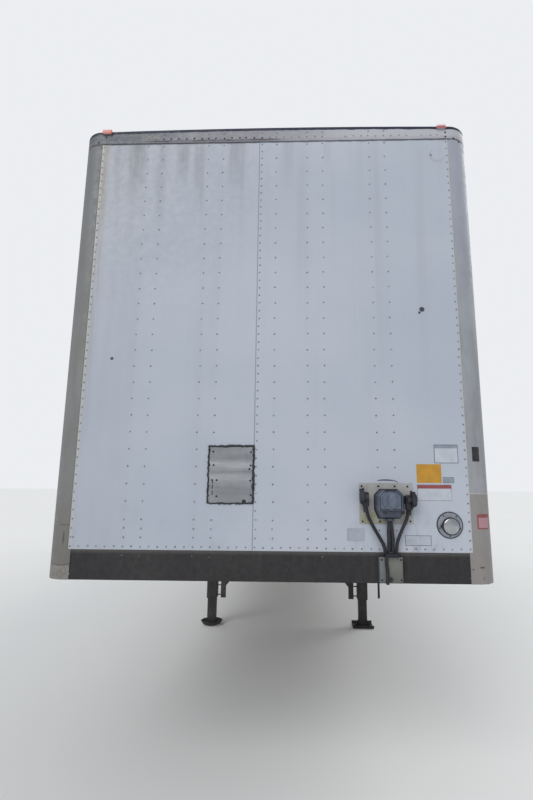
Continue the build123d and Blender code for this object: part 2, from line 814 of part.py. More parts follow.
# Rear impact guard
guard_tube = 100
guard_half = half_width - 115.5
guard_z = (460, 560)
guard_post_x = 480
guard_post_width = 90
guard_y = (rear_y - 25 - guard_tube, rear_y - 25)
with BuildPart() as impact_guard:
    block((-guard_half, guard_half), guard_y, guard_z)
    for side in (1, -1):
        post_span = sorted((side * guard_post_x, side * (guard_post_x + guard_post_width)))
        block(post_span, (guard_y[0] + 10, guard_y[1] - 10), (guard_z[1], sill_bottom))
        with BuildSketch(Plane.YZ.offset(post_span[0])):
            with BuildLine():
                Polyline(
                    (guard_y[0] + 20, guard_z[1] + 40),
                    (guard_y[0] + 20, guard_z[1] + 130),
                    (guard_y[0] - 250, beam_bottom),
                    (guard_y[0] - 330, beam_bottom),
                    close=True,
                )
            make_face()
        extrude(amount=guard_post_width)
finish(impact_guard, "impact_guard")

# Sliding bogie frame: two box rails, cross tubes, wear pads, lock pins and arm hangers
bogie_top = beam_bottom - slide_web - 10
bogie_low = bogie_top - bogie_rail_depth
arm_pivot = 500  # arm pivot ahead of its axle
pivot_z = 690
hanger_half = 62
cross_tube = 80
with BuildPart() as bogie_frame:
    for side in (1, -1):
        rail_span = sorted((side * (bogie_x - bogie_rail_width / 2), side * (bogie_x + bogie_rail_width / 2)))
        block(rail_span, (bogie_front_y, bogie_back_y), (bogie_low, bogie_top))
        for pad_y in (bogie_front_y + 100, axle_ys["front"], axle_ys["rear"], bogie_back_y - 100):
            block(rail_span, (pad_y - 80, pad_y + 80), (bogie_top, beam_bottom - slide_web - pad_gap))
        for axle_y in axle_ys.values():
            with BuildSketch(Plane.YZ.offset(rail_span[0])):
                with BuildLine():
                    Polyline(
                        (axle_y - arm_pivot - 110, bogie_low),
                        (axle_y - arm_pivot + 110, bogie_low),
                        (axle_y - arm_pivot + hanger_half, pivot_z),
                        (axle_y - arm_pivot + hanger_half / 2, pivot_z - hanger_half),
                        (axle_y - arm_pivot - hanger_half / 2, pivot_z - hanger_half),
                        (axle_y - arm_pivot - hanger_half, pivot_z),
                        close=True,
                    )
                make_face()
            extrude(amount=bogie_rail_width)
        for lock_y in (front_pin_y, rear_pin_y):
            with BuildSketch(Plane.YZ.offset(side * bogie_x)):
                with Locations((lock_y, pin_z)):
                    Circle(pin_r)
            extrude(amount=side * (slide_x + slide_web + 8 - bogie_x))
    for cross_y in (
        bogie_front_y + cross_tube / 2,
        axle_ys["front"] - 60,
        (axle_ys["front"] + axle_ys["rear"]) / 2,
        axle_ys["rear"] - 60,
        bogie_back_y - cross_tube / 2,
    ):
        block(
            (-bogie_x, bogie_x),
            (cross_y - cross_tube / 2, cross_y + cross_tube / 2),
            (bogie_low, bogie_low + cross_tube),
        )
finish(bogie_frame, "bogie_frame")

# Axles: tube, brake spiders and spindles turned as one
spider_x = track / 2 - 272
spider_thick = 14
spider_r = 200
spindle_x = track / 2 + 116
for axle_name, axle_y in axle_ys.items():
    with BuildPart() as axle:
        with BuildSketch(facing_front(axle_y)):
            with BuildLine():
                Polyline(
                    (-spindle_x, axle_z),
                    (-spindle_x, axle_z + spindle_r),
                    (-spider_x - spider_thick, axle_z + spindle_r),
                    (-spider_x - spider_thick, axle_z + spider_r),
                    (-spider_x, axle_z + spider_r),
                    (-spider_x, axle_z + axle_tube_r),
                    (spider_x, axle_z + axle_tube_r),
                    (spider_x, axle_z + spider_r),
                    (spider_x + spider_thick, axle_z + spider_r),
                    (spider_x + spider_thick, axle_z + spindle_r),
                    (spindle_x, axle_z + spindle_r),
                    (spindle_x, axle_z),
                    close=True,
                )
            make_face()
        revolve(axis=Axis((0, axle_y, axle_z), (1, 0, 0)))
    finish(axle, f"axle_{axle_name}")

# Trailing arms over the axles, from their hangers back to the air springs
spring_back = 420
spring_seat_z = 560
arm_width = 60
seat_gap = 0.3
with BuildPart() as trailing_arms:
    for axle_y in axle_ys.values():
        for side in (1, -1):
            with BuildSketch(Plane.YZ.offset(side * bogie_x - arm_width / 2)):
                with BuildLine():
                    Polyline(
                        (axle_y - arm_pivot + hanger_half + 6, pivot_z - 45),
                        (axle_y - 90, axle_z + axle_tube_r + seat_gap),
                        (axle_y + 90, axle_z + axle_tube_r + seat_gap),
                        (axle_y + 150, spring_seat_z - 40),
                        (axle_y + spring_back + 110, spring_seat_z - 40),
                        (axle_y + spring_back + 110, spring_seat_z),
                        (axle_y + 190, spring_seat_z),
                        (axle_y + 110, axle_z + axle_tube_r + 95),
                        (axle_y - 110, axle_z + axle_tube_r + 95),
                        (axle_y - arm_pivot + hanger_half + 6, pivot_z + 30),
                        close=True,
                    )
                make_face()
            extrude(amount=arm_width)
finish(trailing_arms, "trailing_arms")

# Air springs: piston, rolling lobe and top plate, turned about a vertical axis
spring_r = 118
piston_r = 84
with BuildPart() as air_springs:
    for axle_y in axle_ys.values():
        for side in (1, -1):
            spring_y = axle_y + spring_back
            spring_x = side * (bogie_x - 20)
            with BuildSketch(facing_front(spring_y)):
                with BuildLine():
                    Polyline(
                        (spring_x, spring_seat_z),
                        (spring_x + piston_r + 10, spring_seat_z),
                        (spring_x + piston_r, spring_seat_z + 140),
                        (spring_x + spring_r - 16, spring_seat_z + 150),
                        (spring_x + spring_r, spring_seat_z + 185),
                        (spring_x + spring_r, bogie_low - 60),
                        (spring_x + spring_r - 22, bogie_low - 14),
                        (spring_x + spring_r - 22, bogie_low),
                        (spring_x, bogie_low),
                        close=True,
                    )
                make_face()
            revolve(axis=Axis((spring_x, spring_y, 0), (0, 0, 1)))
finish(air_springs, "air_springs")

# Brake chambers ahead of each axle, with their brackets, push rods and camshafts
chamber_r = 80
chamber_length = 190
chamber_x = 330
chamber_z = axle_z + 150
cam_shaft_r = 19
with BuildPart() as brake_chambers:
    for axle_y in axle_ys.values():
        for side in (1, -1):
            chamber_y = axle_y - 130
            with BuildSketch(facing_front(chamber_y)):
                with Locations((side * chamber_x, chamber_z)):
                    Circle(chamber_r)
            extrude(amount=chamber_length)
            with BuildSketch(facing_front(chamber_y - chamber_length / 2)):
                with Locations((side * chamber_x, chamber_z)):
                    Circle(chamber_r + 8)
            extrude(amount=16)
            block(
                (side * chamber_x - 50, side * chamber_x + 50),
                (chamber_y, chamber_y + 12),
                (axle_z + 20, chamber_z),
            )
            block(
                (side * chamber_x - 50, side * chamber_x + 50),
                (chamber_y + 12, axle_y - axle_tube_r - seat_gap),
                (axle_z + 20, axle_z + 34),
            )
            with BuildSketch(facing_front(chamber_y)):
                with Locations((side * chamber_x, chamber_z)):
                    Circle(9)
            extrude(amount=-(axle_y + 105 - chamber_y))
            with BuildSketch(Plane.YZ.offset(side * chamber_x - 10)):
                patch((axle_y + 85, axle_y + 125), (axle_z - 20, chamber_z + 24))
            extrude(amount=20)
            with BuildSketch(Plane.YZ.offset(side * chamber_x)):
                with Locations((axle_y + 105, axle_z)):
                    Circle(cam_shaft_r)
            extrude(amount=side * (spider_x - chamber_x))
finish(brake_chambers, "brake_chambers")

# Shock absorbers from the arms up to the bogie rails
shock_r = 30
shock_x = bogie_x - bogie_rail_width / 2 - 32
with BuildPart() as shock_absorbers:
    for axle_y in axle_ys.values():
        for side in (1, -1):
            low_end = Vector(side * shock_x, axle_y + 130, spring_seat_z + 30)
            high_end = Vector(side * shock_x, axle_y - 190, bogie_low - 20)
            with BuildSketch(Plane(origin=low_end, z_dir=high_end - low_end)):
                Circle(shock_r)
            extrude(amount=(high_end - low_end).length)
            for end_y, end_z in ((low_end.Y, low_end.Z), (high_end.Y, high_end.Z)):
                with BuildSketch(Plane.YZ.offset(side * (shock_x - 12))):
                    with Locations((end_y, end_z)):
                        Circle(18)
                extrude(amount=side * (bogie_x - arm_width / 2 - seat_gap - shock_x + 12))
finish(shock_absorbers, "shock_absorbers")

# Air tank under the bogie's front cross tube
tank_r = 118
tank_half = 380
tank_y = bogie_front_y + 210
tank_z = bogie_low - tank_r + 20
with BuildPart() as air_tank:
    with BuildSketch(Plane.YZ.offset(-tank_half)):
        with Locations((tank_y, tank_z)):
            Circle(tank_r)
    extrude(amount=2 * tank_half)
    fillet(air_tank.edges().filter_by(GeomType.CIRCLE), radius=40)
    for strap_x in (-220, 220):
        block((strap_x - 20, strap_x + 20), (bogie_front_y + cross_tube, tank_y), (bogie_low + 10, bogie_low + 20))
finish(air_tank, "air_tank")

# Mud flaps on their hanger tubes behind the rear wheels
flap_y = bogie_back_y - 20
flap_x = (tyre_inner_x - 7, tyre_outer_x - 7)
flap_z = (230, bogie_low - 40)
flap_thick = 10
hanger_tube_r = 20
with BuildPart() as flap_hangers:
    for side in (1, -1):
        with BuildSketch(Plane.YZ.offset(side * (bogie_x + bogie_rail_width / 2))):
            with Locations((flap_y, flap_z[1] + hanger_tube_r)):
                Circle(hanger_tube_r)
        extrude(amount=side * (flap_x[1] - bogie_x - bogie_rail_width / 2))
        block(
            sorted((side * (bogie_x - 30), side * (bogie_x + bogie_rail_width / 2 + 10))),
            (flap_y - hanger_tube_r, flap_y + hanger_tube_r),
            (flap_z[1] + 10, bogie_low),
        )
finish(flap_hangers, "flap_hangers")

with BuildPart() as mud_flaps:
    for side in (1, -1):
        block(
            sorted((side * flap_x[0], side * flap_x[1])),
            (flap_y - flap_thick / 2, flap_y + flap_thick / 2),
            flap_z,
        )
finish(mud_flaps, "mud_flaps")

# Dual wheels: discs, rims, hub and drum on one body, with two tyres
bead_gap = 0.3
disc_thick = 12
rim_wall = 16
hub_in = track / 2 - 224
hub_out = track / 2 + 136
cap_out = track / 2 + 181
drum_in = track / 2 - 249
drum_out = track / 2 - 49
drum_web = (track / 2 - 59, track / 2 - 44)
drum_wall = 22
spindle_clear = 1
hand_hole_count = 10
hand_hole_circle = 246
hand_hole_r = 17
hand_hole_reach = 80  # either side of the mounting face


def band(x, r, side):
    """A ring of the wheel's section between two places along the axle and two radii."""
    patch(sorted((side * x[0], side * x[1])), (axle_z + r[0], axle_z + r[1]))


for axle_name, axle_y in axle_ys.items():
    for side, side_name in ((1, "left"), (-1, "right")):
        wheel_axis = Axis((0, axle_y, axle_z), (1, 0, 0))
        with BuildPart() as wheel:
            with BuildSketch(facing_front(axle_y)):
                for tyre_side in (1, -1):
                    rim_x = track / 2 + tyre_side * dual_spacing / 2
                    rim_low = rim_x - rim_width / 2
                    rim_high = rim_x + rim_width / 2
                    band((rim_low, rim_high), (rim_radius - rim_wall - 2, rim_radius - 2), side)
                    band((rim_low, rim_low + 10), (rim_radius - rim_wall, rim_radius + 12), side)
                    band((rim_high - 10, rim_high), (rim_radius - rim_wall, rim_radius + 12), side)
                    near = rim_x - tyre_side * rim_width / 2
                    with BuildLine():
                        Polyline(
                            (side * track / 2, axle_z + 204),
                            (side * (track / 2 + tyre_side * disc_thick), axle_z + 204),
                            (side * (near + tyre_side * 20), axle_z + rim_radius - rim_wall - 2),
                            (side * near, axle_z + rim_radius - 2),
                            (side * track / 2, axle_z + 226),
                            close=True,
                        )
                    make_face()
                band((track / 2 - disc_thick, track / 2 + disc_thick), (hub_r - 10, 206), side)
                band((hub_in, hub_out), (spindle_r + spindle_clear, hub_r), side)
                band((hub_out, cap_out), (0, hub_r - 18), side)
                band((drum_in, drum_out), (drum_r - drum_wall, drum_r), side)
                band(drum_web, (hub_r - 10, drum_r), side)
            revolve(axis=wheel_axis)
            with BuildSketch(Plane.YZ.offset(side * track / 2 - hand_hole_reach)):
                with Locations((axle_y, axle_z)):
                    with PolarLocations(hand_hole_circle, hand_hole_count):
                        RegularPolygon(hand_hole_r, 8, major_radius=False)
            extrude(amount=2 * hand_hole_reach, mode=Mode.SUBTRACT)
        finish(wheel, f"wheel_{axle_name}_{side_name}")

        with BuildPart() as tyres:
            with BuildSketch(facing_front(axle_y)):
                for tyre_side in (1, -1):
                    tyre_x = side * (track / 2 + tyre_side * dual_spacing / 2)
                    half = tyre_width / 2
                    section = (  # half width, radius
                        (rim_width / 2 - 10 - bead_gap, rim_radius - 2 + bead_gap),
                        (rim_width / 2 - 10 - bead_gap, rim_radius + 12 + bead_gap),
                        (rim_width / 2 + 6, rim_radius + 18),
                        (half, 396),
                        (half - 10, 470),
                        (half - 40, tyre_radius),
                    )
                    with BuildLine():
                        Polyline(
                            *[(tyre_x + across, axle_z + radius) for across, radius in section],
                            *[(tyre_x - across, axle_z + radius) for across, radius in reversed(section)],
                            close=True,
                        )
                    make_face()
            revolve(axis=wheel_axis)
        finish(tyres, f"tyres_{axle_name}_{side_name}")

# Rear doors, each one panel, with hinge straps and lock rods outside
strap_thick = 8
strap_reach = 320
rod_radius = 13.5
handle_length = 380
handles = ((330, -1, floor_top + 213), (930, 1, floor_top + 133))  # rod, way to the hinge, height
bearing_zs = (floor_top + 53, floor_top + 1013, opening_top - 680, opening_top - 50)
for side, side_name in ((1, "left"), (-1, "right")):
    with BuildPart() as door:
        block(
            sorted((side * door_gap / 2, side * (opening_x - door_gap))),
            (door_face_y - door_thick, door_face_y),
            (floor_top + door_gap, opening_top - door_gap),
        )
    finish(door, f"door_{side_name}")

    with BuildPart() as door_hardware:
        for hinge_z in hinge_zs:
            with BuildSketch(Plane.XY.offset(hinge_z - knuckle_height / 2)):
                patch(
                    sorted((side * (pin_x - strap_reach), side * (pin_x - 36))),
                    (door_face_y, door_face_y + strap_thick),
                )
                with BuildLine():
                    Polyline(
                        (side * (pin_x - 54), door_face_y + 4),
                        (side * (pin_x - 40), door_face_y + 4),
                        (side * (pin_x + 5), pin_y - 8),
                        (side * (pin_x - 8), pin_y + 6),
                        close=True,
                    )
                make_face()
                with Locations((side * pin_x, pin_y)):
                    Circle(knuckle_r)
                    Circle(hinge_pin_r + 0.4, mode=Mode.SUBTRACT)
            extrude(amount=knuckle_height)
        for rod_place in rod_places:
            rod_x = side * (pin_x - rod_place)
            with BuildSketch(Plane.XY.offset(sill_cam_z - 30)):
                with Locations((rod_x, rod_centre_y)):
                    Circle(rod_radius)
            extrude(amount=header_cam_z - sill_cam_z + 60)
            for cam_z in (header_cam_z, sill_cam_z):
                block(
                    (rod_x - cam_half, rod_x + cam_half),
                    (rear_y + 6, rod_centre_y + rod_radius),
                    (cam_z - 15, cam_z + 15),
                )
            for bearing_z in bearing_zs:
                block(
                    (rod_x - 34, rod_x + 34),
                    (door_face_y, rod_centre_y + rod_radius + 4),
                    (bearing_z - 30, bearing_z + 30),
                )
        for rod_place, turn, handle_z in handles:
            rod_x = side * (pin_x - rod_place)
            handle_end = rod_x + side * turn * handle_length
            rest_x = handle_end - side * turn * 60
            block(
                sorted((rod_x, handle_end)),
                (rod_centre_y - 5, rod_centre_y + 7),
                (handle_z - 18, handle_z + 18),
            )
            block(
                (rest_x - 15, rest_x + 15),
                (door_face_y, rod_centre_y - 5),
                (handle_z - 40, handle_z + 40),
            )
    finish(door_hardware, f"door_hardware_{side_name}")
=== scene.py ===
import math
import random
import bmesh
import bpy
from mathutils import Matrix, Vector


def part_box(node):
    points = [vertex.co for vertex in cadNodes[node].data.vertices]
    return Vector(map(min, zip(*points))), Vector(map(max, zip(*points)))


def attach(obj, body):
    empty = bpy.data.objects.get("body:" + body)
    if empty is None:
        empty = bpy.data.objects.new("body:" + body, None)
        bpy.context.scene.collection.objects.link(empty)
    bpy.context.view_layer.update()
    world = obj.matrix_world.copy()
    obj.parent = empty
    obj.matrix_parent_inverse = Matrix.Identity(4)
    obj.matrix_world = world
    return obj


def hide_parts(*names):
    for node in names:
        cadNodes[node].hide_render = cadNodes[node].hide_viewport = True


# A riveted van semi trailer on its landing legs. Metres; the front wall faces -Y.
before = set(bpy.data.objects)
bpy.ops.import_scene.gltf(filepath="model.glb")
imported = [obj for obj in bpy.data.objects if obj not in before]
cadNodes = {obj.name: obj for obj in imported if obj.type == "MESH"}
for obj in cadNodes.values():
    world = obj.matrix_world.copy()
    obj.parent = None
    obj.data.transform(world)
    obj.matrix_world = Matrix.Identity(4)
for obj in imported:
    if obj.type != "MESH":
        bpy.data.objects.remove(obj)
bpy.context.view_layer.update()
toFront, toRear, toLeft = Vector((0, -1, 0)), Vector((0, 1, 0)), Vector((1, 0, 0))
upwards, downwards = Vector((0, 0, 1)), Vector((0, 0, -1))
sides = (("left", 1), ("right", -1))  # the trailer's own sides, and the sign of x there
print("frame loaded,", len(cadNodes), "pieces")

# Camera, floor and lamps

cameraSetup = {
    "place": (0.1967, -10.8324, 1.7428),
    "yaw": -0.03106,
    "pitch": 0.18036,
    "roll": 0.00585,
    "lens": 21.071,
    "sensor": 36.0,
    "shift": -0.02694,
    "clipEnd": 400,
}


def show(thing):
    bpy.context.scene.collection.objects.link(thing)
    return thing


def makeCamera(setup):
    yaw, pitch, roll = setup["yaw"], setup["pitch"], setup["roll"]
    ahead = Vector((math.sin(yaw) * math.cos(pitch), math.cos(yaw) * math.cos(pitch), math.sin(pitch)))
    level = Vector((math.cos(yaw), -math.sin(yaw), 0))
    top = level.cross(ahead)
    right = math.cos(roll) * level + math.sin(roll) * top
    up = -math.sin(roll) * level + math.cos(roll) * top
    data = bpy.data.cameras.new("photoCamera")
    data.lens = setup["lens"]
    data.sensor_width = setup["sensor"]
    data.shift_x = setup["shift"]
    data.clip_end = setup["clipEnd"]
    camera = show(bpy.data.objects.new("photoCamera", data))
    camera.matrix_world = Matrix.Translation(setup["place"]) @ Matrix((right, up, -ahead)).transposed().to_4x4()
    bpy.context.scene.camera = camera


studio = {
    "floorHalf": 160.0,
    "floorTone": (226, 226, 224),
    "floorGlow": 0.07,
    "skyTone": (236, 238, 241),
    "skyLightTone": (238, 242, 248),
    "skyLight": 0.66,
    "suns": (("keySun", 1.15, (52, 0, -28)), ("rearSun", 0.9, (50, 0, 125))),  # name, strength, turn in degrees
    "sunSpread": 38.0,  # degrees, so that shadows are soft
}
paintTones = {
    "white": (181, 187, 198),
    "chalk": (172, 179, 191),
    "sideWhite": (204, 208, 215),
    "sideChalk": (193, 198, 206),
    "grime": (114, 115, 120),
    "rustStain": (138, 128, 116),
    "scuff": (58, 58, 66),
    "lining": (176, 158, 124),
    "liningDark": (138, 118, 88),
    "dust": (112, 104, 93),
    "rust": (98, 62, 40),
}


# Colours are names or 0 to 255, and become Blender's linear values
def tone(colour):
    def linear(value):
        value /= 255
        return value / 12.92 if value <= 0.04045 else ((value + 0.055) / 1.055) ** 2.4
    return (*[linear(value) for value in (paintTones[colour] if isinstance(colour, str) else colour)], 1.0)


# A value in a material's nodes; its sums, products and ramps are values too
class Value:
    def __init__(self, paint, socket):
        self.paint = paint
        self.socket = socket

    def maths(self, operation, other=0.0):
        return self.paint.addNode("Math", {0: self, 1: other}, "Value", operation=operation)

    def __add__(self, other):
        return self.maths("ADD", other)

    def __sub__(self, other):
        return self.maths("SUBTRACT", other)

    def __mul__(self, other):
        return self.maths("MULTIPLY", other)

    def __abs__(self):
        return self.maths("ABSOLUTE")

    def ramp(self, low, high, start=0.0, end=1.0):
        sockets = {"Value": self, "From Min": low, "From Max": high, "To Min": start, "To Max": end}
        return self.paint.addNode("MapRange", sockets, "Result", interpolation_type="SMOOTHSTEP")

    def near(self, level, half):  # 1 at the level, 0 past half from it
        return abs(self - level).ramp(half, half * 0.3)


finishes = {}


# A material that is painted in coats, with patterns on Object coordinates
class Paint:
    def __init__(self, name, colour, roughness, metallic=0.0):
        finishes[name] = bpy.data.materials.new(name)
        finishes[name].use_nodes = True
        self.tree = finishes[name].node_tree
        self.shader = self.tree.nodes["Principled BSDF"].inputs
        self.shader["Base Color"].default_value = tone(colour)
        self.shader["Roughness"].default_value = roughness
        self.shader["Metallic"].default_value = metallic
        self.colour = colour
        self.normal = None
        self.spot = self.addNode("TexCoord", {}, "Object")

    def plug(self, socket, value):
        if isinstance(value, Value):
            self.tree.links.new(value.socket, socket)
        else:
            socket.default_value = value

    def addNode(self, kind, sockets, output, **settings):
        made = self.tree.nodes.new("ShaderNode" + kind)
        for key, value in settings.items():
            setattr(made, key, value)
        for key, value in sockets.items():
            self.plug(made.inputs[key], value)
        return Value(self, made.outputs[output])

    def placed(self, stretch=(1, 1, 1)):
        return self.addNode("Mapping", {"Vector": self.spot, "Scale": stretch}, "Vector")

    def axis(self, name):
        return self.addNode("SeparateXYZ", {"Vector": self.spot}, name)

    def cloudy(self, scale, stretch=(1, 1, 1), detail=4.0, rough=0.55):
        sockets = {"Vector": self.placed(stretch), "Scale": scale, "Detail": detail, "Roughness": rough}
        return self.addNode("TexNoise", sockets, "Fac")

    def roundSpot(self, centre, radius, edge, stretch=(1, 1, 1)):
        reach = self.addNode("VectorMath", {0: self.placed(stretch), 1: centre}, "Value", operation="DISTANCE")
        return reach.ramp(radius + edge, radius - edge)

    def blend(self, mask, first, second):
        first, second = [value if isinstance(value, Value) else tone(value) for value in (first, second)]
        return self.addNode("Mix", {0: mask, 6: first, 7: second}, 2, data_type="RGBA")

    def coat(self, mask, colour):
        self.colour = self.blend(mask, self.colour, colour)
        self.plug(self.shader["Base Color"], self.colour)

    def rough(self, value, low, high):
        self.plug(self.shader["Roughness"], value.ramp(0.3, 0.7, low, high))

    def bump(self, value, strength, distance):
        sockets = {"Height": value, "Strength": strength, "Distance": distance}
        if self.normal:
            sockets["Normal"] = self.normal
        self.normal = self.addNode("Bump", sockets, "Normal")
        self.plug(self.shader["Normal"], self.normal)


def floorPaint(colour, glow):
    paint = Paint("studioFloor", colour, 0.85)
    paint.shader["Emission Color"].default_value = tone(colour)
    paint.shader["Emission Strength"].default_value = glow
    paint.coat(paint.cloudy(0.35, detail=3), [value - 6 for value in colour])
    paint.bump(paint.cloudy(30, detail=3), 0.04, 0.002)


def makeStage(setup):
    bm = bmesh.new()
    bmesh.ops.create_grid(bm, x_segments=2, y_segments=2, size=setup["floorHalf"])
    mesh = bpy.data.meshes.new("studioFloor")
    bm.to_mesh(mesh)
    bm.free()
    floorPaint(setup["floorTone"], setup["floorGlow"])
    mesh.materials.append(finishes["studioFloor"])
    floor = show(bpy.data.objects.new("studioFloor", mesh))

    world = bpy.data.worlds.new("studioSky")
    bpy.context.scene.world = world
    world.use_nodes = True
    nodes, links = world.node_tree.nodes, world.node_tree.links
    lit = nodes["Background"]
    lit.inputs["Color"].default_value = tone(setup["skyLightTone"])
    lit.inputs["Strength"].default_value = setup["skyLight"]
    shown = nodes.new("ShaderNodeBackground")
    shown.inputs["Color"].default_value = tone(setup["skyTone"])
    choice = nodes.new("ShaderNodeMixShader")
    links.new(nodes.new("ShaderNodeLightPath").outputs["Is Camera Ray"], choice.inputs[0])
    links.new(lit.outputs[0], choice.inputs[1])
    links.new(shown.outputs[0], choice.inputs[2])
    links.new(choice.outputs[0], nodes["World Output"].inputs["Surface"])

    for name, strength, turn in setup["suns"]:
        data = bpy.data.lights.new(name, "SUN")
        data.energy = strength
        data.angle = math.radians(setup["sunSpread"])
        lamp = show(bpy.data.objects.new(name, data))
        lamp.rotation_euler = [math.radians(angle) for angle in turn]


makeCamera(cameraSetup)
makeStage(studio)
bpy.context.scene.view_settings.view_transform = "Standard"
print("camera, floor and lamps made")

# Sizes read from the frame

wallLow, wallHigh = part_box("front_wall")
topRailLow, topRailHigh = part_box("front_top_rail")
bolsterLow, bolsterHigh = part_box("front_bolster")
sideLow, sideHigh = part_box("side_wall_left")
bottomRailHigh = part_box("bottom_rail_left")[1]
roofLow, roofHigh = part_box("roof")
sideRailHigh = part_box("top_rail_left")[1]
skinY = wallLow.y
postFaceY = topRailLow.y
halfWidth = topRailHigh.x
railCrown = topRailHigh.z - sideRailHigh.z
postRadius = 0.127
cornerX = halfWidth - postRadius
cornerY = postFaceY + postRadius

# Finishes of the walls and doors


# White skin: across is the axis along the wall, and rain streaks run down it
def whitePaint(name, across, streaks, clean, chalk):
    paint = Paint(name, clean, 0.4)
    high = paint.axis("Z")
    fine = paint.cloudy(26, detail=6, rough=0.7)
    paint.coat(paint.cloudy(0.9, detail=3).ramp(0.35, 0.68), chalk)
    thin = (34, 1, 0.55) if across == "X" else (1, 34, 0.55)
    wide = (8, 1, 0.25) if across == "X" else (1, 8, 0.25)
    thinRuns = paint.cloudy(1.0, thin, 5, 0.6).ramp(0.55, 0.85, 0.0, 0.4)
    wideRuns = paint.cloudy(1.0, wide, 3, 0.5).ramp(0.48, 0.85)
    fromTop = high.ramp(wallHigh.z - 2.1, wallHigh.z - 0.02, 0.2, 1.0)
    paint.coat(thinRuns.maths("MAXIMUM", wideRuns) * fromTop * streaks, "grime")
    splash = paint.cloudy(7, detail=7, rough=0.68).ramp(0.5, 0.78)
    paint.coat(splash * high.ramp(wallLow.z + 0.5, wallLow.z, 0.0, 0.55) * streaks, "grime")
    paint.coat(paint.cloudy(210, detail=2).ramp(0.70, 0.78, 0.0, 0.5), "scuff")
    paint.coat(paint.cloudy(3.2, (6, 6, 1.2), 8, 0.75).ramp(0.68, 0.78, 0.0, 0.3), "grime")
    paint.rough(fine, 0.34, 0.52)
    paint.bump(paint.cloudy(1.6, detail=2), 0.25, 0.02)
    paint.bump(fine, 0.05, 0.002)
    return paint


# Plywood lining: sheets 1.22 m wide with a scuffed foot
def plyColour(paint, across):
    ply = paint.blend(paint.cloudy(6.0, (3, 3, 0.35), 8, 0.7).ramp(0.35, 0.7), "lining", "liningDark")
    along = paint.axis(across).maths("PINGPONG", 0.61)
    ply = paint.blend(along.ramp(0.006, 0.003, 0.0, 0.8), ply, "scuff")
    scrapes = paint.cloudy(2.4, (0.6, 0.6, 9), 7).ramp(0.56, 0.7)
    return paint.blend(scrapes * paint.axis("Z").ramp(2.0, 1.35, 0.15, 0.7), ply, "scuff")


washes = (  # middle x, half width, top, foot, strength of a soft grey run under the front rail
    (-0.91, 0.080, 4.00, 3.45, 0.62),
    (-1.04, 0.030, 4.00, 3.30, 0.30),
    (-0.60, 0.055, 3.99, 3.60, 0.50),
    (-0.49, 0.050, 3.99, 3.36, 0.40),
    (-0.24, 0.080, 3.99, 3.45, 0.42),
    (-0.74, 0.045, 4.00, 3.10, 0.32),
    (0.10, 0.060, 3.99, 3.50, 0.22),
    (0.36, 0.035, 3.99, 3.70, 0.16),
)
wallSpots = (  # x, z, radius of a dark mark on the front wall
    (-0.9806, 2.5086, 0.010),
    (0.9342, 2.8169, 0.016),
    (0.9181, 2.7959, 0.008),
    (1.0404, 3.8857, 0.006),
)


def paintFront():
    paint = whitePaint("frontWhite", "X", 0.3, "white", "chalk")
    x, z = paint.axis("X"), paint.axis("Z")
    paint.coat(z.ramp(2.4, 4.0) * x.ramp(0.5, -0.9) * 0.3, (122, 124, 128))
    paint.coat(x.ramp(-0.6, -1.1, 0.0, 0.10), "grime")
    ragged = paint.cloudy(1.0, (26, 1, 1.3), 6, 0.66).ramp(0.26, 0.58, 0.25, 1.0)
    for middle, half, top, foot, strength in washes:
        paint.coat(x.near(middle, half) * z.ramp(foot, top) * ragged * strength, "grime")
    # Painted shadow under the front rail: a dark, wavy line along the top of the wall
    level = z + (paint.cloudy(16, (1, 1, 0.3), 5) - 0.5) * 0.016
    paint.coat(level.ramp(wallHigh.z - 0.010, wallHigh.z - 0.006, 0.0, 0.75), (74, 74, 84))
    paint.coat(z.ramp(3.2, 3.9) * x.near(-1.115, 0.035) * 0.45, (165, 162, 157))
    runs = paint.cloudy(1.0, (60, 1, 2.6), 5).ramp(0.38, 0.62, 0.25, 1.0)
    paint.coat(runs * x.ramp(-1.075, -1.135, 0.0, 0.55) * z.ramp(1.7, 3.2, 0.15, 1.0), "rustStain")
    lip = abs(x) + x.ramp(0.1, -0.1, 0.0, 0.008)
    paint.coat(lip.ramp(1.1480, 1.1500, 0.0, 0.7), (184, 183, 172))
    smears = paint.cloudy(9, (1.6, 1, 0.7), 7, 0.7).ramp(0.42, 0.7, 0.0, 0.4)
    paint.coat(z.ramp(1.68, 1.38) * x.ramp(0.35, 0.62) * smears, "grime")
    paint.coat(z.ramp(wallLow.z + 0.007, wallLow.z + 0.004, 0.0, 0.4), (176, 176, 176))
    paint.coat(x.near(-0.0885, 0.0045) * 0.55, (84, 90, 106))  # the lap seam
    for spotX, spotZ, radius in wallSpots:
        paint.coat(paint.roundSpot((spotX, skinY, spotZ), radius, 0.004), "scuff")
    ring = paint.roundSpot((1.078, skinY, 3.884), 0.052, 0.007)
    hole = paint.roundSpot((1.085, skinY, 3.894), 0.043, 0.007)
    paint.coat(ring * (hole * -1 + 1) * 0.2, "grime")  # where a round label came off
    paint.coat(paint.axis("Y").ramp(skinY + 0.02, skinY + 0.03), plyColour(paint, "X"))


def paintSides():
    paint = whitePaint("sideWhite", "Y", 0.4, "sideWhite", "sideChalk")
    paint.coat(abs(paint.axis("X")).ramp(sideHigh.x - 0.01, sideHigh.x - 0.02), plyColour(paint, "Y"))


def paintDoors():
    paint = whitePaint("doorWhite", "X", 0.4, "sideWhite", "sideChalk")
    worn = paint.cloudy(2.6, (1, 1, 0.35), 8, 0.7).ramp(0.4, 0.68)
    lining = paint.blend(worn, (178, 178, 174), (148, 146, 140))
    scrapes = paint.cloudy(2.4, (0.6, 0.6, 9), 7).ramp(0.58, 0.7, 0.0, 0.45)
    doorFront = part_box("door_left")[0].y
    paint.coat(paint.axis("Y").ramp(doorFront + 0.003, doorFront + 0.001), paint.blend(scrapes, lining, "scuff"))


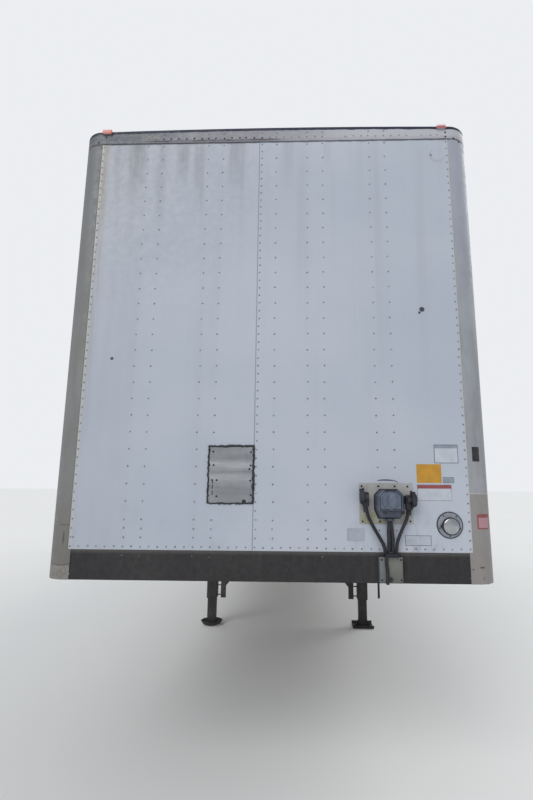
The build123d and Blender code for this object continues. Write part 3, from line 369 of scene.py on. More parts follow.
# Weathered metal, paint, rubber and labels


def wornFinish(name, colour, second, roughness, metallic, dirt, dirtAmount,
               rustAmount=0.0, scale=3.0, grain=0.0, dents=0.15):
    paint = Paint(name, colour, roughness, metallic)
    broad = paint.cloudy(scale, detail=5, rough=0.6)
    fine = paint.cloudy(scale * 14, detail=6, rough=0.7)
    paint.coat(broad.ramp(0.36, 0.66), second)
    if rustAmount:
        paint.coat(paint.cloudy(scale * 4, detail=9, rough=0.72).ramp(0.60, 0.70, 0.0, rustAmount), "rust")
    paint.coat(paint.cloudy(scale * 1.7, (1, 1, 0.6), 7, 0.7).ramp(0.45, 0.75) * dirtAmount, dirt)
    if grain:
        paint.coat(paint.cloudy(1.0, (grain, grain, 3), 3).ramp(0.4, 0.75, 0.0, 0.35), dirt)
    paint.rough(fine, roughness - 0.08, min(roughness + 0.16, 0.95))
    paint.bump(broad, dents, 0.003)
    paint.bump(fine, 0.12, 0.0008)
    return paint


wornTable = (  # name, colour, second colour, roughness, metallic, dirt and how much, rust, scale, grain, dents
    ("railGrey", (150, 150, 147), (133, 133, 131), 0.45, 0.3, (92, 90, 88), 0.5, 0, 1.6, 18),
    ("roofMetal", (176, 178, 180), (156, 158, 160), 0.42, 0.6, (120, 116, 108), 0.5, 0, 0.7),
    ("bareSteel", (150, 151, 152), (128, 129, 130), 0.45, 0.6, "dust", 0.3),
    ("blackSteel", (44, 44, 47), (58, 57, 57), 0.6, 0.0, "dust", 0.42, 0.5),
    ("kingpinSteel", (92, 88, 82), (60, 56, 52), 0.35, 0.8, (40, 36, 32), 0.7, 0, 12),
    ("nosePlastic", (68, 73, 88), (58, 62, 76), 0.55, 0.0, (112, 112, 114), 0.3, 0, 8),
    ("lidPlastic", (96, 106, 122), (84, 92, 108), 0.45, 0.0, (120, 120, 124), 0.3, 0, 8),
    ("gladhandMetal", (40, 41, 48), (56, 57, 64), 0.55, 0.3, (84, 82, 80), 0.3, 0, 14),
    ("holderChrome", (176, 178, 181), (150, 152, 157), 0.2, 0.9, (104, 104, 107), 0.35, 0, 9, 0, 0.05),
    ("holderFlange", (152, 156, 165), (134, 138, 148), 0.4, 0.4, (84, 86, 92), 0.4, 0, 16),
    ("hoseRubber", (24, 24, 31), (33, 33, 40), 0.6, 0.0, (62, 60, 62), 0.3, 0, 10),
    ("framePaint", (176, 177, 177), (154, 155, 156), 0.5, 0.25, (104, 99, 92), 0.55, 0.35),
    ("bumperRubber", (38, 38, 38), (54, 53, 52), 0.8, 0.0, (104, 98, 90), 0.5, 0, 8),
    ("axlePaint", (42, 42, 43), (58, 56, 54), 0.6, 0.0, "dust", 0.6, 0.7, 5),
    ("springRubber", (36, 36, 37), (50, 49, 48), 0.7, 0.0, (110, 104, 96), 0.5, 0, 7),
    ("tankPaint", (46, 46, 49), (60, 59, 59), 0.42, 0.0, "dust", 0.5, 0.3),
    ("flapRubber", (36, 36, 36), (48, 47, 46), 0.78, 0.0, (124, 116, 106), 0.6, 0, 2),
    ("wheelPaint", (196, 195, 190), (168, 166, 160), 0.45, 0.0, (112, 100, 86), 0.6, 0.6, 6),
    ("galvanised", (160, 162, 163), (138, 140, 142), 0.42, 0.7, (100, 96, 90), 0.4, 0.3, 7),
    ("sealBlack", (24, 25, 30), (40, 41, 46), 0.55, 0.0, (90, 88, 84), 0.3, 0, 20),
    ("rivetGrey", (146, 148, 151), (112, 113, 115), 0.45, 0.25, (84, 82, 80), 0.5, 0, 9),
    ("rivetPale", (104, 104, 106), (84, 84, 86), 0.45, 0.2, (70, 68, 66), 0.4, 0, 9),
    ("labelWhite", (188, 193, 202), (178, 183, 192), 0.5, 0.0, (140, 138, 140), 0.3, 0, 14),
    ("labelYellow", (194, 142, 38), (178, 130, 36), 0.5, 0.0, (140, 116, 70), 0.25, 0, 14),
    ("labelRed", (148, 76, 76), (132, 64, 66), 0.5, 0.0, (140, 110, 106), 0.3, 0, 14),
    ("labelPink", (184, 142, 149), (170, 128, 136), 0.5, 0.0, (140, 116, 116), 0.3, 0, 14),
    ("labelGrey", (146, 151, 162), (134, 139, 150), 0.55, 0.0, (120, 120, 124), 0.35, 0, 14),
    ("labelTeal", (142, 151, 160), (130, 139, 148), 0.55, 0.0, (110, 112, 116), 0.35, 0, 14),
    ("labelInk", (88, 96, 116), (78, 84, 102), 0.55, 0.0, (110, 110, 114), 0.35, 0, 14),
    ("labelPale", (176, 182, 192), (164, 170, 181), 0.5, 0.0, (130, 132, 138), 0.4, 0, 14),
    ("labelFaded", (163, 169, 179), (153, 160, 171), 0.5, 0.0, (130, 132, 138), 0.4, 0, 14),
)


# The front rail: dark and greenish towards the trailer's right, paler towards its left, with a dark crown
def paintFrontRail():
    paint = wornFinish("frontRail", (142, 141, 148), (130, 129, 136), 0.5, 0.15, (96, 95, 98), 0.4, scale=2.4)
    x, foot = paint.axis("X"), topRailLow.z
    paint.coat(x.ramp(-0.5, -1.0, 0.0, 0.8), (78, 84, 88))
    paint.coat(x.ramp(-0.2, 0.7, 0.0, 0.85), (186, 186, 192))
    smears = paint.cloudy(1.0, (5, 5, 24), 6, 0.7).ramp(0.45, 0.7)
    paint.coat(smears * x.ramp(0.2, -0.6, 0.0, 0.6), (132, 132, 122))
    level = paint.axis("Z") + (paint.cloudy(14, (1, 1, 0.4), 5) - 0.5) * 0.012
    paint.coat(level.ramp(foot + 0.030, foot + 0.018) * x.ramp(0.1, -0.5, 0.2, 0.5), (118, 116, 124))
    # A dark line in patches, a little above the rail's lower edge
    railDarkLine = level.near(foot + 0.015, 0.010) * x.ramp(0.15, -0.05) * x.ramp(-0.95, -0.75)
    paint.coat(railDarkLine * paint.cloudy(11, detail=6).ramp(0.35, 0.55, 0.35, 0.85), (56, 55, 62))
    paint.coat(level.ramp(foot + 0.006, foot + 0.002, 0.0, 0.65), (52, 52, 62))
    crowned = level + x * x * (railCrown / halfWidth ** 2)
    paint.coat(crowned.ramp(topRailHigh.z - 0.030, topRailHigh.z - 0.026), (28, 31, 56))


postMarks = (  # x, z, stretch across and up, radius and tone of a mark on a corner post
    (-1.184, 1.437, 1.0, 0.16, 0.006, (84, 82, 80)),
    (-1.150, 3.975, 0.5, 1.0, 0.007, (70, 68, 70)),
    (1.202, 1.297, 0.28, 1.0, 0.0042, (66, 62, 60)),
    (1.1497, 1.287, 1.0, 1.0, 0.004, (74, 70, 68)),
    (1.2084, 1.238, 1.0, 1.0, 0.004, (74, 70, 68)),
)


# Corner posts: the one on the trailer's right is darker all over, which is painted shade, and browner towards the
# bottom; the upper part of the one on its left is lighter and bluer, which is painted sky light; joints, a shoe and
# marks are painted on
def paintPosts():
    paint = wornFinish("postGrey", (158, 161, 166), (146, 149, 154), 0.5, 0.12, (110, 108, 106), 0.4,
                       scale=1.6, grain=18)
    x, z = paint.axis("X"), paint.axis("Z")
    onRight, onLeft, out = x.ramp(0.1, -0.1), x.ramp(-0.1, 0.1), abs(x)
    # Painted shade: the post on the trailer's right is darker, browner towards its foot and greyer higher up
    paint.coat(onRight * 0.68, (106, 105, 100))
    paint.coat(onRight * z.ramp(1.9, 1.3, 0.0, 0.6), (104, 99, 92))
    paint.coat(onRight * z.ramp(2.6, 3.9, 0.0, 0.45), (106, 109, 112))
    paint.coat(onLeft * z.ramp(1.704, 1.700, 0.0, 0.7), (136, 128, 122))
    # Painted sky light: the upper part of the post on the trailer's left is lighter and bluer
    paint.coat(onLeft * z.ramp(2.2, 3.9, 0.0, 0.6), (162, 167, 182))
    paint.coat(onLeft * z.near(1.7015, 0.003) * 0.6, (196, 194, 190))
    paint.coat(onRight * out.ramp(1.283, 1.293, 0.0, 0.35), (170, 168, 162))
    offMiddle = out - 1.2
    level = z - offMiddle * offMiddle * 2.2
    mottle = paint.cloudy(46, detail=5, rough=0.7).ramp(0.4, 0.62, 0.15, 0.7)
    paint.coat(level.ramp(1.288, 1.285) * mottle * onRight, (146, 142, 134))
    paint.coat(level.near(1.286, 0.004) * onRight * 0.7, (64, 62, 60))
    paint.coat(z.near(1.5105, 0.003) * out.ramp(1.213, 1.206) * onRight * 0.75, (66, 64, 62))
    wavy = z + (paint.cloudy(22, detail=5) - 0.5) * 0.03
    paint.coat(wavy.ramp(3.990, 3.997, 0.0, 0.8), (62, 62, 68))
    for markX, markZ, across, up, radius, shade in postMarks:
        spot = paint.roundSpot((markX * across, 0, markZ * up), radius, 0.002, (across, 0, up))
        paint.coat(spot, shade)


def paintBolster():
    paint = wornFinish("bolsterBlack", (33, 30, 32), (39, 36, 38), 0.62, 0.0, (70, 68, 66), 0.3, scale=2.2)
    z = paint.axis("Z")
    drips = paint.cloudy(1.0, (30, 1, 1.4), 5).ramp(0.5, 0.75, 0.0, 0.35)
    paint.coat(drips * z.ramp(bolsterLow.z, bolsterHigh.z, 0.3, 1.0), (74, 70, 68))
    paint.coat(z.ramp(bolsterHigh.z - 0.028, bolsterHigh.z - 0.004, 0.0, 0.6), (84, 83, 82))


patchStripes = (  # part down the plate, half height, shade of a dull or bright stripe
    (0.2, 0.032, 104), (0.325, 0.0288, 186), (0.47, 0.0192, 104), (0.55, 0.032, 182), (0.78, 0.048, 108))


def paintPatch():
    paint = wornFinish("patchMetal", (150, 152, 155), (135, 137, 141), 0.45, 0.3, (104, 104, 106), 0.35, scale=5)
    low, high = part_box("patch_plate")
    grain = paint.cloudy(1.0, (4, 1, 46), 5).ramp(0.35, 0.7, 0.2, 1.0)
    for part, half, shade in patchStripes:
        stripe = paint.axis("Z").near(high.z - part * (high.z - low.z), half)
        paint.coat(stripe * grain * 0.55, (shade, shade + 2, shade + 5))


def paintPlate():
    paint = wornFinish("plateMetal", (168, 167, 165), (154, 154, 152), 0.5, 0.1, (112, 108, 100), 0.4, scale=6)
    low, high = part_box("connector_plate")
    corner = paint.axis("Z").ramp(high.z - 0.08, low.z + 0.02) * paint.axis("X").ramp(high.x - 0.08, low.x + 0.1)
    paint.coat(corner * paint.cloudy(18, detail=6).ramp(0.38, 0.66, 0.1, 0.75), (136, 134, 88))


# The hose cover is greenish grey and darkens downwards; a black band along its top stands for the clamp and for
# painted shade in the cover's opening under the hoses
def paintCover():
    paint = wornFinish("coverMetal", (119, 120, 113), (107, 108, 102), 0.5, 0.2, (96, 96, 90), 0.4, scale=7)
    low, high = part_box("hose_cover")
    z = paint.axis("Z")
    paint.coat(z.ramp(high.z - 0.05, low.z, 0.0, 0.65), (92, 94, 88))
    paint.coat(paint.axis("X").ramp(0.662, 0.650, 0.0, 0.4), (110, 114, 130))
    paint.coat(paint.roundSpot((0.684, low.y + 0.018, 1.236), 0.014, 0.008), (40, 40, 42))
    # Black band along the top: the clamp, with painted shade of the opening
    paint.coat(z.ramp(high.z - 0.0225, high.z - 0.0215), (30, 30, 40))


def paintFloor():
    paint = Paint("floorWood", (134, 97, 62), 0.6)
    strips = paint.addNode("VectorMath", {0: paint.placed((26, 0.8, 0)), 1: (1, 1, 1)}, "Vector", operation="FLOOR")
    paint.coat(paint.addNode("TexWhiteNoise", {"Vector": strips}, "Value"), (92, 64, 42))
    grain = paint.cloudy(12, (6, 0.4, 6), 8, 0.7)
    paint.coat(grain.ramp(0.4, 0.75, 0.0, 0.6), (60, 44, 32))
    paint.coat(paint.axis("X").maths("PINGPONG", 0.1525).ramp(0.004, 0.002), (32, 26, 22))
    paint.rough(grain, 0.45, 0.75)
    paint.bump(grain, 0.15, 0.001)


def paintLens(name, colour):
    paint = Paint(name, colour, 0.16)
    ribs = paint.cloudy(1.0, (90, 90, 12), 1)
    paint.coat(ribs.ramp(0.35, 0.7, 0.0, 0.16), (60, 12, 8))
    paint.bump(ribs, 0.08, 0.001)
    paint.shader["Coat Weight"].default_value = 0.25
    return paint


# Front lamps: the left one is pinkish white above, the right one salmon above; those on the sides are amber
def paintFrontLens():
    paint = paintLens("lampFront", (190, 90, 74))
    onLeft, z = paint.axis("X").ramp(-0.1, 0.1), paint.axis("Z")
    upper = z.ramp(4.088, 4.098)
    paint.coat(upper * 0.3, (232, 150, 132))
    paint.coat(onLeft, paint.blend(upper, (172, 102, 96), (240, 218, 228)))
    paint.coat(z.ramp(4.0745, 4.0735), paint.blend(onLeft, (104, 106, 110), (150, 150, 156)))
    paint.coat(paint.axis("Y").ramp(postFaceY, postFaceY + 0.02), (206, 112, 40))


# Reflective tape, red and white in turn along one axis
def paintTape(name, along):
    paint = Paint(name, (206, 202, 196), 0.3)
    paint.coat(paint.axis(along).maths("DIVIDE", 0.4572).maths("FRACT").ramp(0.608, 0.612), (160, 30, 26))
    cells = paint.addNode("TexVoronoi", {"Vector": paint.placed(), "Scale": 260.0}, "Distance")
    paint.coat(cells.ramp(0.2, 0.8, 0.0, 0.3), (110, 96, 92))
    paint.coat(paint.cloudy(9, detail=6).ramp(0.45, 0.7, 0.0, 0.45), (120, 112, 104))


def paintTyres():
    paint = Paint("tyreRubber", (40, 40, 40), 0.82)
    fine = paint.cloudy(70, detail=5, rough=0.7)
    paint.coat(paint.cloudy(3.2, detail=6, rough=0.65).ramp(0.35, 0.7), (66, 62, 57))
    paint.coat(fine.ramp(0.5, 0.8, 0.0, 0.5), (98, 90, 80))
    paint.rough(fine, 0.72, 0.92)
    paint.bump(fine, 0.25, 0.001)


for row in wornTable:
    wornFinish(*row)
for paintFinish in (paintFront, paintSides, paintDoors, paintFrontRail, paintPosts, paintBolster, paintPatch,
                    paintPlate, paintCover, paintFloor, paintFrontLens, paintTyres):
    paintFinish()
paintLens("lampRed", (150, 26, 24))
paintTape("sideTape", "Y")
paintTape("rearTape", "X")

wheelPlaces = [(axle, sideName) for axle in ("front", "rear") for sideName, side in sides]
nodeFinishes = {
    "frontWhite": ("front_wall",),
    "sideWhite": ("side_wall_left", "side_wall_right"),
    "doorWhite": ("door_left", "door_right"),
    "railGrey": ("top_rail_left", "top_rail_right", "bottom_rail_left", "bottom_rail_right"),
    "frontRail": ("front_top_rail",),
    "postGrey": ("corner_post_left", "corner_post_right"),
    "bolsterBlack": ("front_bolster",),
    "patchMetal": ("patch_plate",),
    "roofMetal": ("roof",),
    "bareSteel": ("roof_bows",),
    "floorWood": ("floor",),
    "blackSteel": ("crossmembers", "upper_coupler", "leg_left", "leg_right", "foot_left", "foot_right",
                   "cross_shaft", "crank", "slide_rails", "impact_guard", "bogie_frame", "trailing_arms",
                   "shock_absorbers", "flap_hangers"),
    "kingpinSteel": ("kingpin",),
    "plateMetal": ("connector_plate",),
    "coverMetal": ("hose_cover",),
    "nosePlastic": ("nose_box",),
    "gladhandMetal": ("gladhands",),
    "holderChrome": ("document_holder",),
    "lampFront": ("marker_lamps",),
    "hoseRubber": ("air_lines",),
    "framePaint": ("rear_frame",),
    "lampRed": ("rear_lamps",),
    "bumperRubber": ("dock_bumpers",),
    "axlePaint": ("axle_front", "axle_rear", "brake_chambers"),
    "springRubber": ("air_springs",),
    "tankPaint": ("air_tank",),
    "flapRubber": ("mud_flaps",),
    "wheelPaint": [f"wheel_{axle}_{sideName}" for axle, sideName in wheelPlaces],
    "tyreRubber": [f"tyres_{axle}_{sideName}" for axle, sideName in wheelPlaces],
    "galvanised": ("door_hardware_left", "door_hardware_right"),
}
for finishName, nodeNames in nodeFinishes.items():
    for nodeName in nodeNames:
        mesh = cadNodes[nodeName].data
        mesh.materials.clear()
        mesh.materials.append(finishes[finishName])
print("finishes made:", len(finishes))

# Mesh helpers


def finishPiece(name, data, finish, body, replaced):
    data.materials.append(finishes[finish])
    piece = show(bpy.data.objects.new(name, data))
    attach(piece, body)
    if replaced:
        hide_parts(replaced)
    return piece


def makePiece(bm, name, finish, body="body", smooth=False, replaced=None):
    bmesh.ops.recalc_face_normals(bm, faces=bm.faces)
    mesh = bpy.data.meshes.new(name)
    bm.to_mesh(mesh)
    bm.free()
    for polygon in mesh.polygons:
        polygon.use_smooth = smooth
    return finishPiece(name, mesh, finish, body, replaced)


# A hand-run bead or a hose: a round curve through its points, each with its own share of the radius
def makeTube(name, points, radius, finish="hoseRubber", shares=(), closed=False, smoothTurns=True,
             body="body", replaced=None):
    curve = bpy.data.curves.new(name, "CURVE")
    curve.dimensions = "3D"
    curve.bevel_depth = radius
    curve.bevel_resolution = 4 if smoothTurns else 1
    curve.resolution_u = 10
    curve.use_fill_caps = True
    spline = curve.splines.new("NURBS" if smoothTurns else "POLY")
    spline.points.add(len(points) - 1)
    for index, (point, place) in enumerate(zip(spline.points, points)):
        point.co = (*place, 1)
        point.radius = shares[index] if shares else 1.0
    spline.use_cyclic_u = closed
    if smoothTurns:
        spline.order_u = 3
        spline.use_endpoint_u = True
    return finishPiece(name, curve, finish, body, replaced)


def facingTurn(facing):
    return Vector(facing).to_track_quat("Z", "Y").to_matrix().to_4x4()


# A turned stud standing on seat: a rivet head, bolt or disc
def addStud(bm, seat, facing, radius, height, segments=8, crown=0.55):
    facing = Vector(facing).normalized()
    place = Matrix.Translation(Vector(seat) + facing * height / 2) @ facingTurn(facing)
    return bmesh.ops.create_cone(bm, cap_ends=True, segments=segments, radius1=radius, radius2=radius * crown,
                                 depth=height, matrix=place)["verts"]


def addBolt(bm, seat, facing, size):
    addStud(bm, seat, facing, size * 1.15, size * 0.16, 12, 1.0)
    addStud(bm, Vector(seat) + Vector(facing) * size * 0.16, facing, size, size * 0.72, 6, 0.94)


def bevelEdges(bm, edges, offset, segments=2):
    bmesh.ops.bevel(bm, geom=edges, offset=offset, segments=segments, profile=0.5, affect="EDGES", material=-1)


def addBlock(bm, x, y, z, bevel=0.0, segments=2):
    x, y, z = sorted(x), sorted(y), sorted(z)
    centre = Vector((sum(x) / 2, sum(y) / 2, sum(z) / 2))
    sizes = Matrix.Diagonal((x[1] - x[0], y[1] - y[0], z[1] - z[0], 1))
    made = bmesh.ops.create_cube(bm, size=1.0, matrix=Matrix.Translation(centre) @ sizes)["verts"]
    if bevel:
        bevelEdges(bm, list({edge for vert in made for edge in vert.link_edges}), bevel, segments)


def repeat(piece, count, step):
    array = piece.modifiers.new("repeat", "ARRAY")
    array.use_relative_offset = False
    array.use_constant_offset = True
    array.constant_offset_displace = step
    array.count = count


# Front wall: rivets, lap joint, repair plate and labels

frontWall = {
    "rivet": (0.0052, 0.0024),  # radius and height
    "railRivetTall": 0.0022,
    "bigRivet": (0.0062, 0.0026),
    "paleRivet": (0.0060, 0.0024),
    "pitch": 0.0508,
    "bottomRow": 0.0176,  # above the sheet's lower edge
    "rowEnd": 1.143,
    "wander": 0.002,
    "sizeSpread": (0.9, 1.08),
    "margin": 0.010,  # kept clear round a covered place
    "seamMargin": 0.002,
    "columns": (-0.8382, -0.7366, -0.4318, -0.3302, 0.0254, 0.2286, 0.3302, 0.6350, 0.7366),
    "topRow": 51,
    "seamColumn": -0.0735,
    "seamEdge": -0.087,
    "lapThick": 0.0012,
    "railRows": (0.031, 0.065),  # above the front rail's lower edge
    "railWander": (0.006, 0.003),
    "railKept": 0.8,  # the share of the lower row that still shows
    "darkSpan": (-0.78, -0.05),  # where the rail's rivets are dark
    "darkGrowth": 1.25,
    "extraRivet": (-1.130, 0.98),  # x, rows up
    "postRivets": ((1.137, 1.342), (1.139, 1.291), (1.133, 1.240)),  # distance out, z
    "bolsterRivets": ((-0.838, 1.343), (-0.736, 1.339), (-0.432, 1.341), (-0.331, 1.337), (0.31, 1.346)),  # x, z
}
coveredPlaces = [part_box(name) for name in ("patch_plate", "connector_plate", "document_holder", "hose_cover")]
wallFace = skinY - frontWall["lapThick"]


def uncovered(x, z, margin):
    return not any(low.x - margin < x < high.x + margin and low.z - margin < z < high.z + margin
                   for low, high in coveredPlaces)


def jitter(amount):
    return random.uniform(-amount, amount)


def makeFrontRivets(sizes):
    bm = bmesh.new()
    pitch, end, rows = sizes["pitch"], sizes["rowEnd"], range(1, sizes["topRow"] + 1)
    radius, tall = sizes["rivet"]
    firstZ = wallLow.z + sizes["bottomRow"]
    rowXs = [index * pitch - end for index in range(int(2 * end / pitch + 1.5))]
    seats = [(x, 0) for x in rowXs]
    seats += [(x, row) for x in sizes["columns"] for row in (1, 2, *rows[2::2])]
    seats += [(x, row) for x in (sizes["seamColumn"], -end, end) for row in rows]
    random.seed(4)
    for x, row in seats:
        z = firstZ + row * pitch
        if uncovered(x, z, sizes["seamMargin" if x == sizes["seamColumn"] else "margin"]):
            lift = sizes["lapThick"] if x > sizes["seamEdge"] else 0
            seat = (x + jitter(sizes["wander"]), skinY - lift, z + jitter(sizes["wander"]))
            addStud(bm, seat, toFront, radius * random.uniform(*sizes["sizeSpread"]), tall)
    extraX, rowsUp = sizes["extraRivet"]
    addStud(bm, (extraX, skinY, firstZ + pitch * rowsUp), toFront, *sizes["bigRivet"])
    for side in (1, -1):
        for out, z in sizes["postRivets"]:
            addStud(bm, (side * out, postFaceY, z), toFront, radius, tall)
    lower, upper = [topRailLow.z + row for row in sizes["railRows"]]
    darkBm = bmesh.new()
    for x in rowXs[4:]:
        seat = (x + jitter(sizes["railWander"][0]), postFaceY, lower + jitter(sizes["railWander"][1]))
        if sizes["darkSpan"][0] < x < sizes["darkSpan"][1]:
            addStud(darkBm, seat, toFront, radius * sizes["darkGrowth"], sizes["railRivetTall"])
        elif random.random() < sizes["railKept"]:
            addStud(bm, seat, toFront, radius, sizes["railRivetTall"])
    makePiece(darkBm, "front_rail_rivets", "sealBlack", smooth=True)
    for x in (*sizes["columns"], sizes["seamColumn"]):
        addStud(bm, (x, postFaceY, upper), toFront, radius, tall)
    makePiece(bm, "front_rivets", "rivetGrey", smooth=True)
    bm = bmesh.new()
    for x, z in sizes["bolsterRivets"]:
        addStud(bm, (x, bolsterLow.y, z), toFront, *sizes["paleRivet"], 10)
    makePiece(bm, "bolster_rivets", "rivetPale", smooth=True)


def makeFrontLap(sizes):
    bm = bmesh.new()
    addBlock(bm, (sizes["seamEdge"], wallHigh.x), (wallFace, skinY), (wallLow.z, wallHigh.z))
    makePiece(bm, "front_lap_sheet", "frontWhite")


patchPlate = {
    "beadStep": 0.011,
    "beadWander": 0.0026,
    "beadDepth": (0.001, 0.003),
    "beadSpread": (0.72, 1.3),
    "rightInset": 0.004,
    "beads": (0.0062, 0.0064, 0.0074, 0.0054),  # radius on the left, top, right and bottom edge
    "rivets": ((0.094, 0.10), (0.923, 0.106), (0.110, 0.337), (0.923, 0.342), (0.897, 0.407), (0.090, 0.598),
               (0.187, 0.600), (0.920, 0.606), (0.935, 0.854), (0.194, 0.879)),  # parts across and down
    "crackAcross": 0.097,
    "cracks": ((0.59, 0.66), (0.68, 0.75), (0.78, 0.86)),  # parts down
    "crackSize": (0.0024, 0.0012),  # half width and height
    "blob": (0.79, 0.965),  # parts across and down
    "blobSize": (0.012, 0.003),
}


def makePatchDetails(sizes):
    low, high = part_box("patch_plate")
    right = high.x - sizes["rightInset"]
    corners = [Vector(corner) for corner in ((low.x, low.z), (low.x, high.z), (right, high.z), (right, low.z))]
    random.seed(11)
    points, shares = [], []
    for index, bead in enumerate(sizes["beads"]):
        start, end = corners[index], corners[(index + 1) % 4]
        count = int((end - start).length / sizes["beadStep"])
        for step in range(count):
            spot = start.lerp(end, step / count)
            points.append((spot.x + jitter(sizes["beadWander"]), skinY - random.uniform(*sizes["beadDepth"]),
                           spot.y + jitter(sizes["beadWander"])))
            shares.append(random.uniform(*sizes["beadSpread"]) * bead / sizes["beads"][0])
    makeTube("patch_bead", points, sizes["beads"][0], "sealBlack", shares, closed=True, smoothTurns=False)

    def onPlate(across, down):
        return low.x + across * (high.x - low.x), low.y, high.z - down * (high.z - low.z)

    bm = bmesh.new()
    for across, down in sizes["rivets"]:
        addStud(bm, onPlate(across, down), toFront, *frontWall["bigRivet"])
    half, proud = sizes["crackSize"]
    for top, foot in sizes["cracks"]:
        x, y, topZ = onPlate(sizes["crackAcross"], top)
        addBlock(bm, (x - half, x + half), (y - proud, y), (onPlate(0, foot)[2], topZ), 0.0004, 1)
    addStud(bm, onPlate(*sizes["blob"]), toFront, *sizes["blobSize"], 12)
    makePiece(bm, "patch_rivets", "sealBlack", smooth=True)


labelTable = (  # name, x, z, face finish, rim finish, rim, height of the top band, band finish
    ("label_upper", (0.9639, 1.1022), (1.8745, 1.9825), "labelWhite", "labelInk", 0.0035, 0.018, "labelTeal"),
    ("label_yellow", (0.8582, 1.0002), (1.7617, 1.8684), "labelYellow", "labelYellow", 0.002, 0.0, None),
    ("label_small", (1.0082, 1.0718), (1.7617, 1.7942), "labelTeal", "labelInk", 0.002, 0.0, None),
    ("label_wide", (0.8572, 1.0556), (1.6602, 1.7524), "labelWhite", "labelGrey", 0.003, 0.020, "labelRed"),
    ("label_sign", (0.7788, 0.9265), (1.4115, 1.4677), "labelPale", "labelInk", 0.0026, 0.0, None),
    ("label_faded", (0.4509, 0.5507), (1.4336, 1.5040), "labelFaded", "labelFaded", 0.002, 0.0, None),
)


def makeLabels(table):
    for name, x, z, finish, rimFinish, rim, bandTall, bandFinish in table:
        inX, inZ = (x[0] + rim, x[1] - rim), (z[0] + rim, z[1] - rim)
        layers = (("_back", rimFinish, x, z, 0.0006, 0.0), ("", finish, inX, inZ, 0.0011, 0.0005),
                  ("_band", bandFinish, inX, (inZ[1] - bandTall, inZ[1]), 0.0015, 0.0010))
        for ending, layerFinish, across, up, front, back in layers[:3 if bandTall else 2]:
            bm = bmesh.new()
            addBlock(bm, across, (wallFace - front, wallFace - back), up)
            makePiece(bm, name + ending, layerFinish)


makeFrontRivets(frontWall)
makeFrontLap(frontWall)
makePatchDetails(patchPlate)
makeLabels(labelTable)
print("front wall dressed")

# Corner posts: tape square, black tag, rivets and the caps of the front lamps

postTrim = {
    "stripThick": 0.0008,
    "strips": (  # name, z, start and end angle from the front face, lift, finish
        ("post_tape_square", (1.505, 1.587), 0.163, 0.857, 0.0008, "labelRed"),
        ("post_tape_face", (1.512, 1.568), 0.215, 0.805, 0.0014, "labelPink"),
        ("post_black_tag", (1.886, 1.970), 0.115, 0.475, 0.0008, "sealBlack"),
    ),
    "frontRivets": ((-1, 1.1299, 4.0554), (-1, 1.1816, 4.0173), (1, 1.1429, 4.0506), (1, 1.1422, 4.0192),
                    (1, 1.1947, 4.0086), (1, 1.2330, 3.9904)),  # side, distance out, z
    "frontRivet": (0.0068, 0.003, 10),  # radius, height, segments
    "sideRivets": (topRailLow.z + 0.03, topRailLow.z + 0.07, 1.25, 1.33),
    "sideRivet": (0.0065, 0.003, 10),
    "sideRivetBack": 0.04,
    "lamps": ((-1.1545, -1.0905), (1.0845, 1.1465)),
    "lampY": (postFaceY - 0.0135, postFaceY - 0.001),
    "lampZ": (4.0740, 4.1065),
}


# A strip that follows the rounded corner in plan
def makeCornerStrip(name, z, start, end, lift, finish, thick):
    bm = bmesh.new()
    centre = Vector((cornerX, cornerY, 0))
    first = centre + Vector((math.sin(start), -math.cos(start), 0)) * (postRadius + lift)
    upright = [bm.verts.new(first + Vector((0, 0, level))) for level in z]
    edge = bm.edges.new(upright)
    bmesh.ops.spin(bm, geom=upright + [edge], cent=centre, axis=upwards, angle=end - start,
                   steps=max(2, int((end - start) / 0.08)), use_duplicate=False)
    wall = makePiece(bm, name, finish).modifiers.new("wall", "SOLIDIFY")
    wall.thickness = thick
    wall.offset = 0


def makePostTrim(sizes):
    for strip in sizes["strips"]:
        makeCornerStrip(*strip, sizes["stripThick"])
    bm = bmesh.new()
    for side, out, z in sizes["frontRivets"]:
        reach = max(0.0, (out - cornerX) / postRadius)
        facing = Vector((side * reach, -math.sqrt(1 - reach ** 2), 0))
        seat = Vector((side * min(out, cornerX), cornerY, z)) + facing * postRadius
        addStud(bm, seat, facing, *sizes["frontRivet"])
    for side in (1, -1):
        for z in sizes["sideRivets"]:
            seat = (side * halfWidth, cornerY + sizes["sideRivetBack"], z)
            addStud(bm, seat, (side, 0, 0), *sizes["sideRivet"])
    makePiece(bm, "corner_rivets", "gladhandMetal", smooth=True)

    bm = bmesh.new()
    for lampX in sizes["lamps"]:
        addBlock(bm, lampX, sizes["lampY"], sizes["lampZ"], 0.005, 3)
    makePiece(bm, "marker_lens_caps", "lampFront", smooth=True)


makePostTrim(postTrim)
print("corner posts dressed")

# Connector plate, nose box, gladhands, hoses and document holder

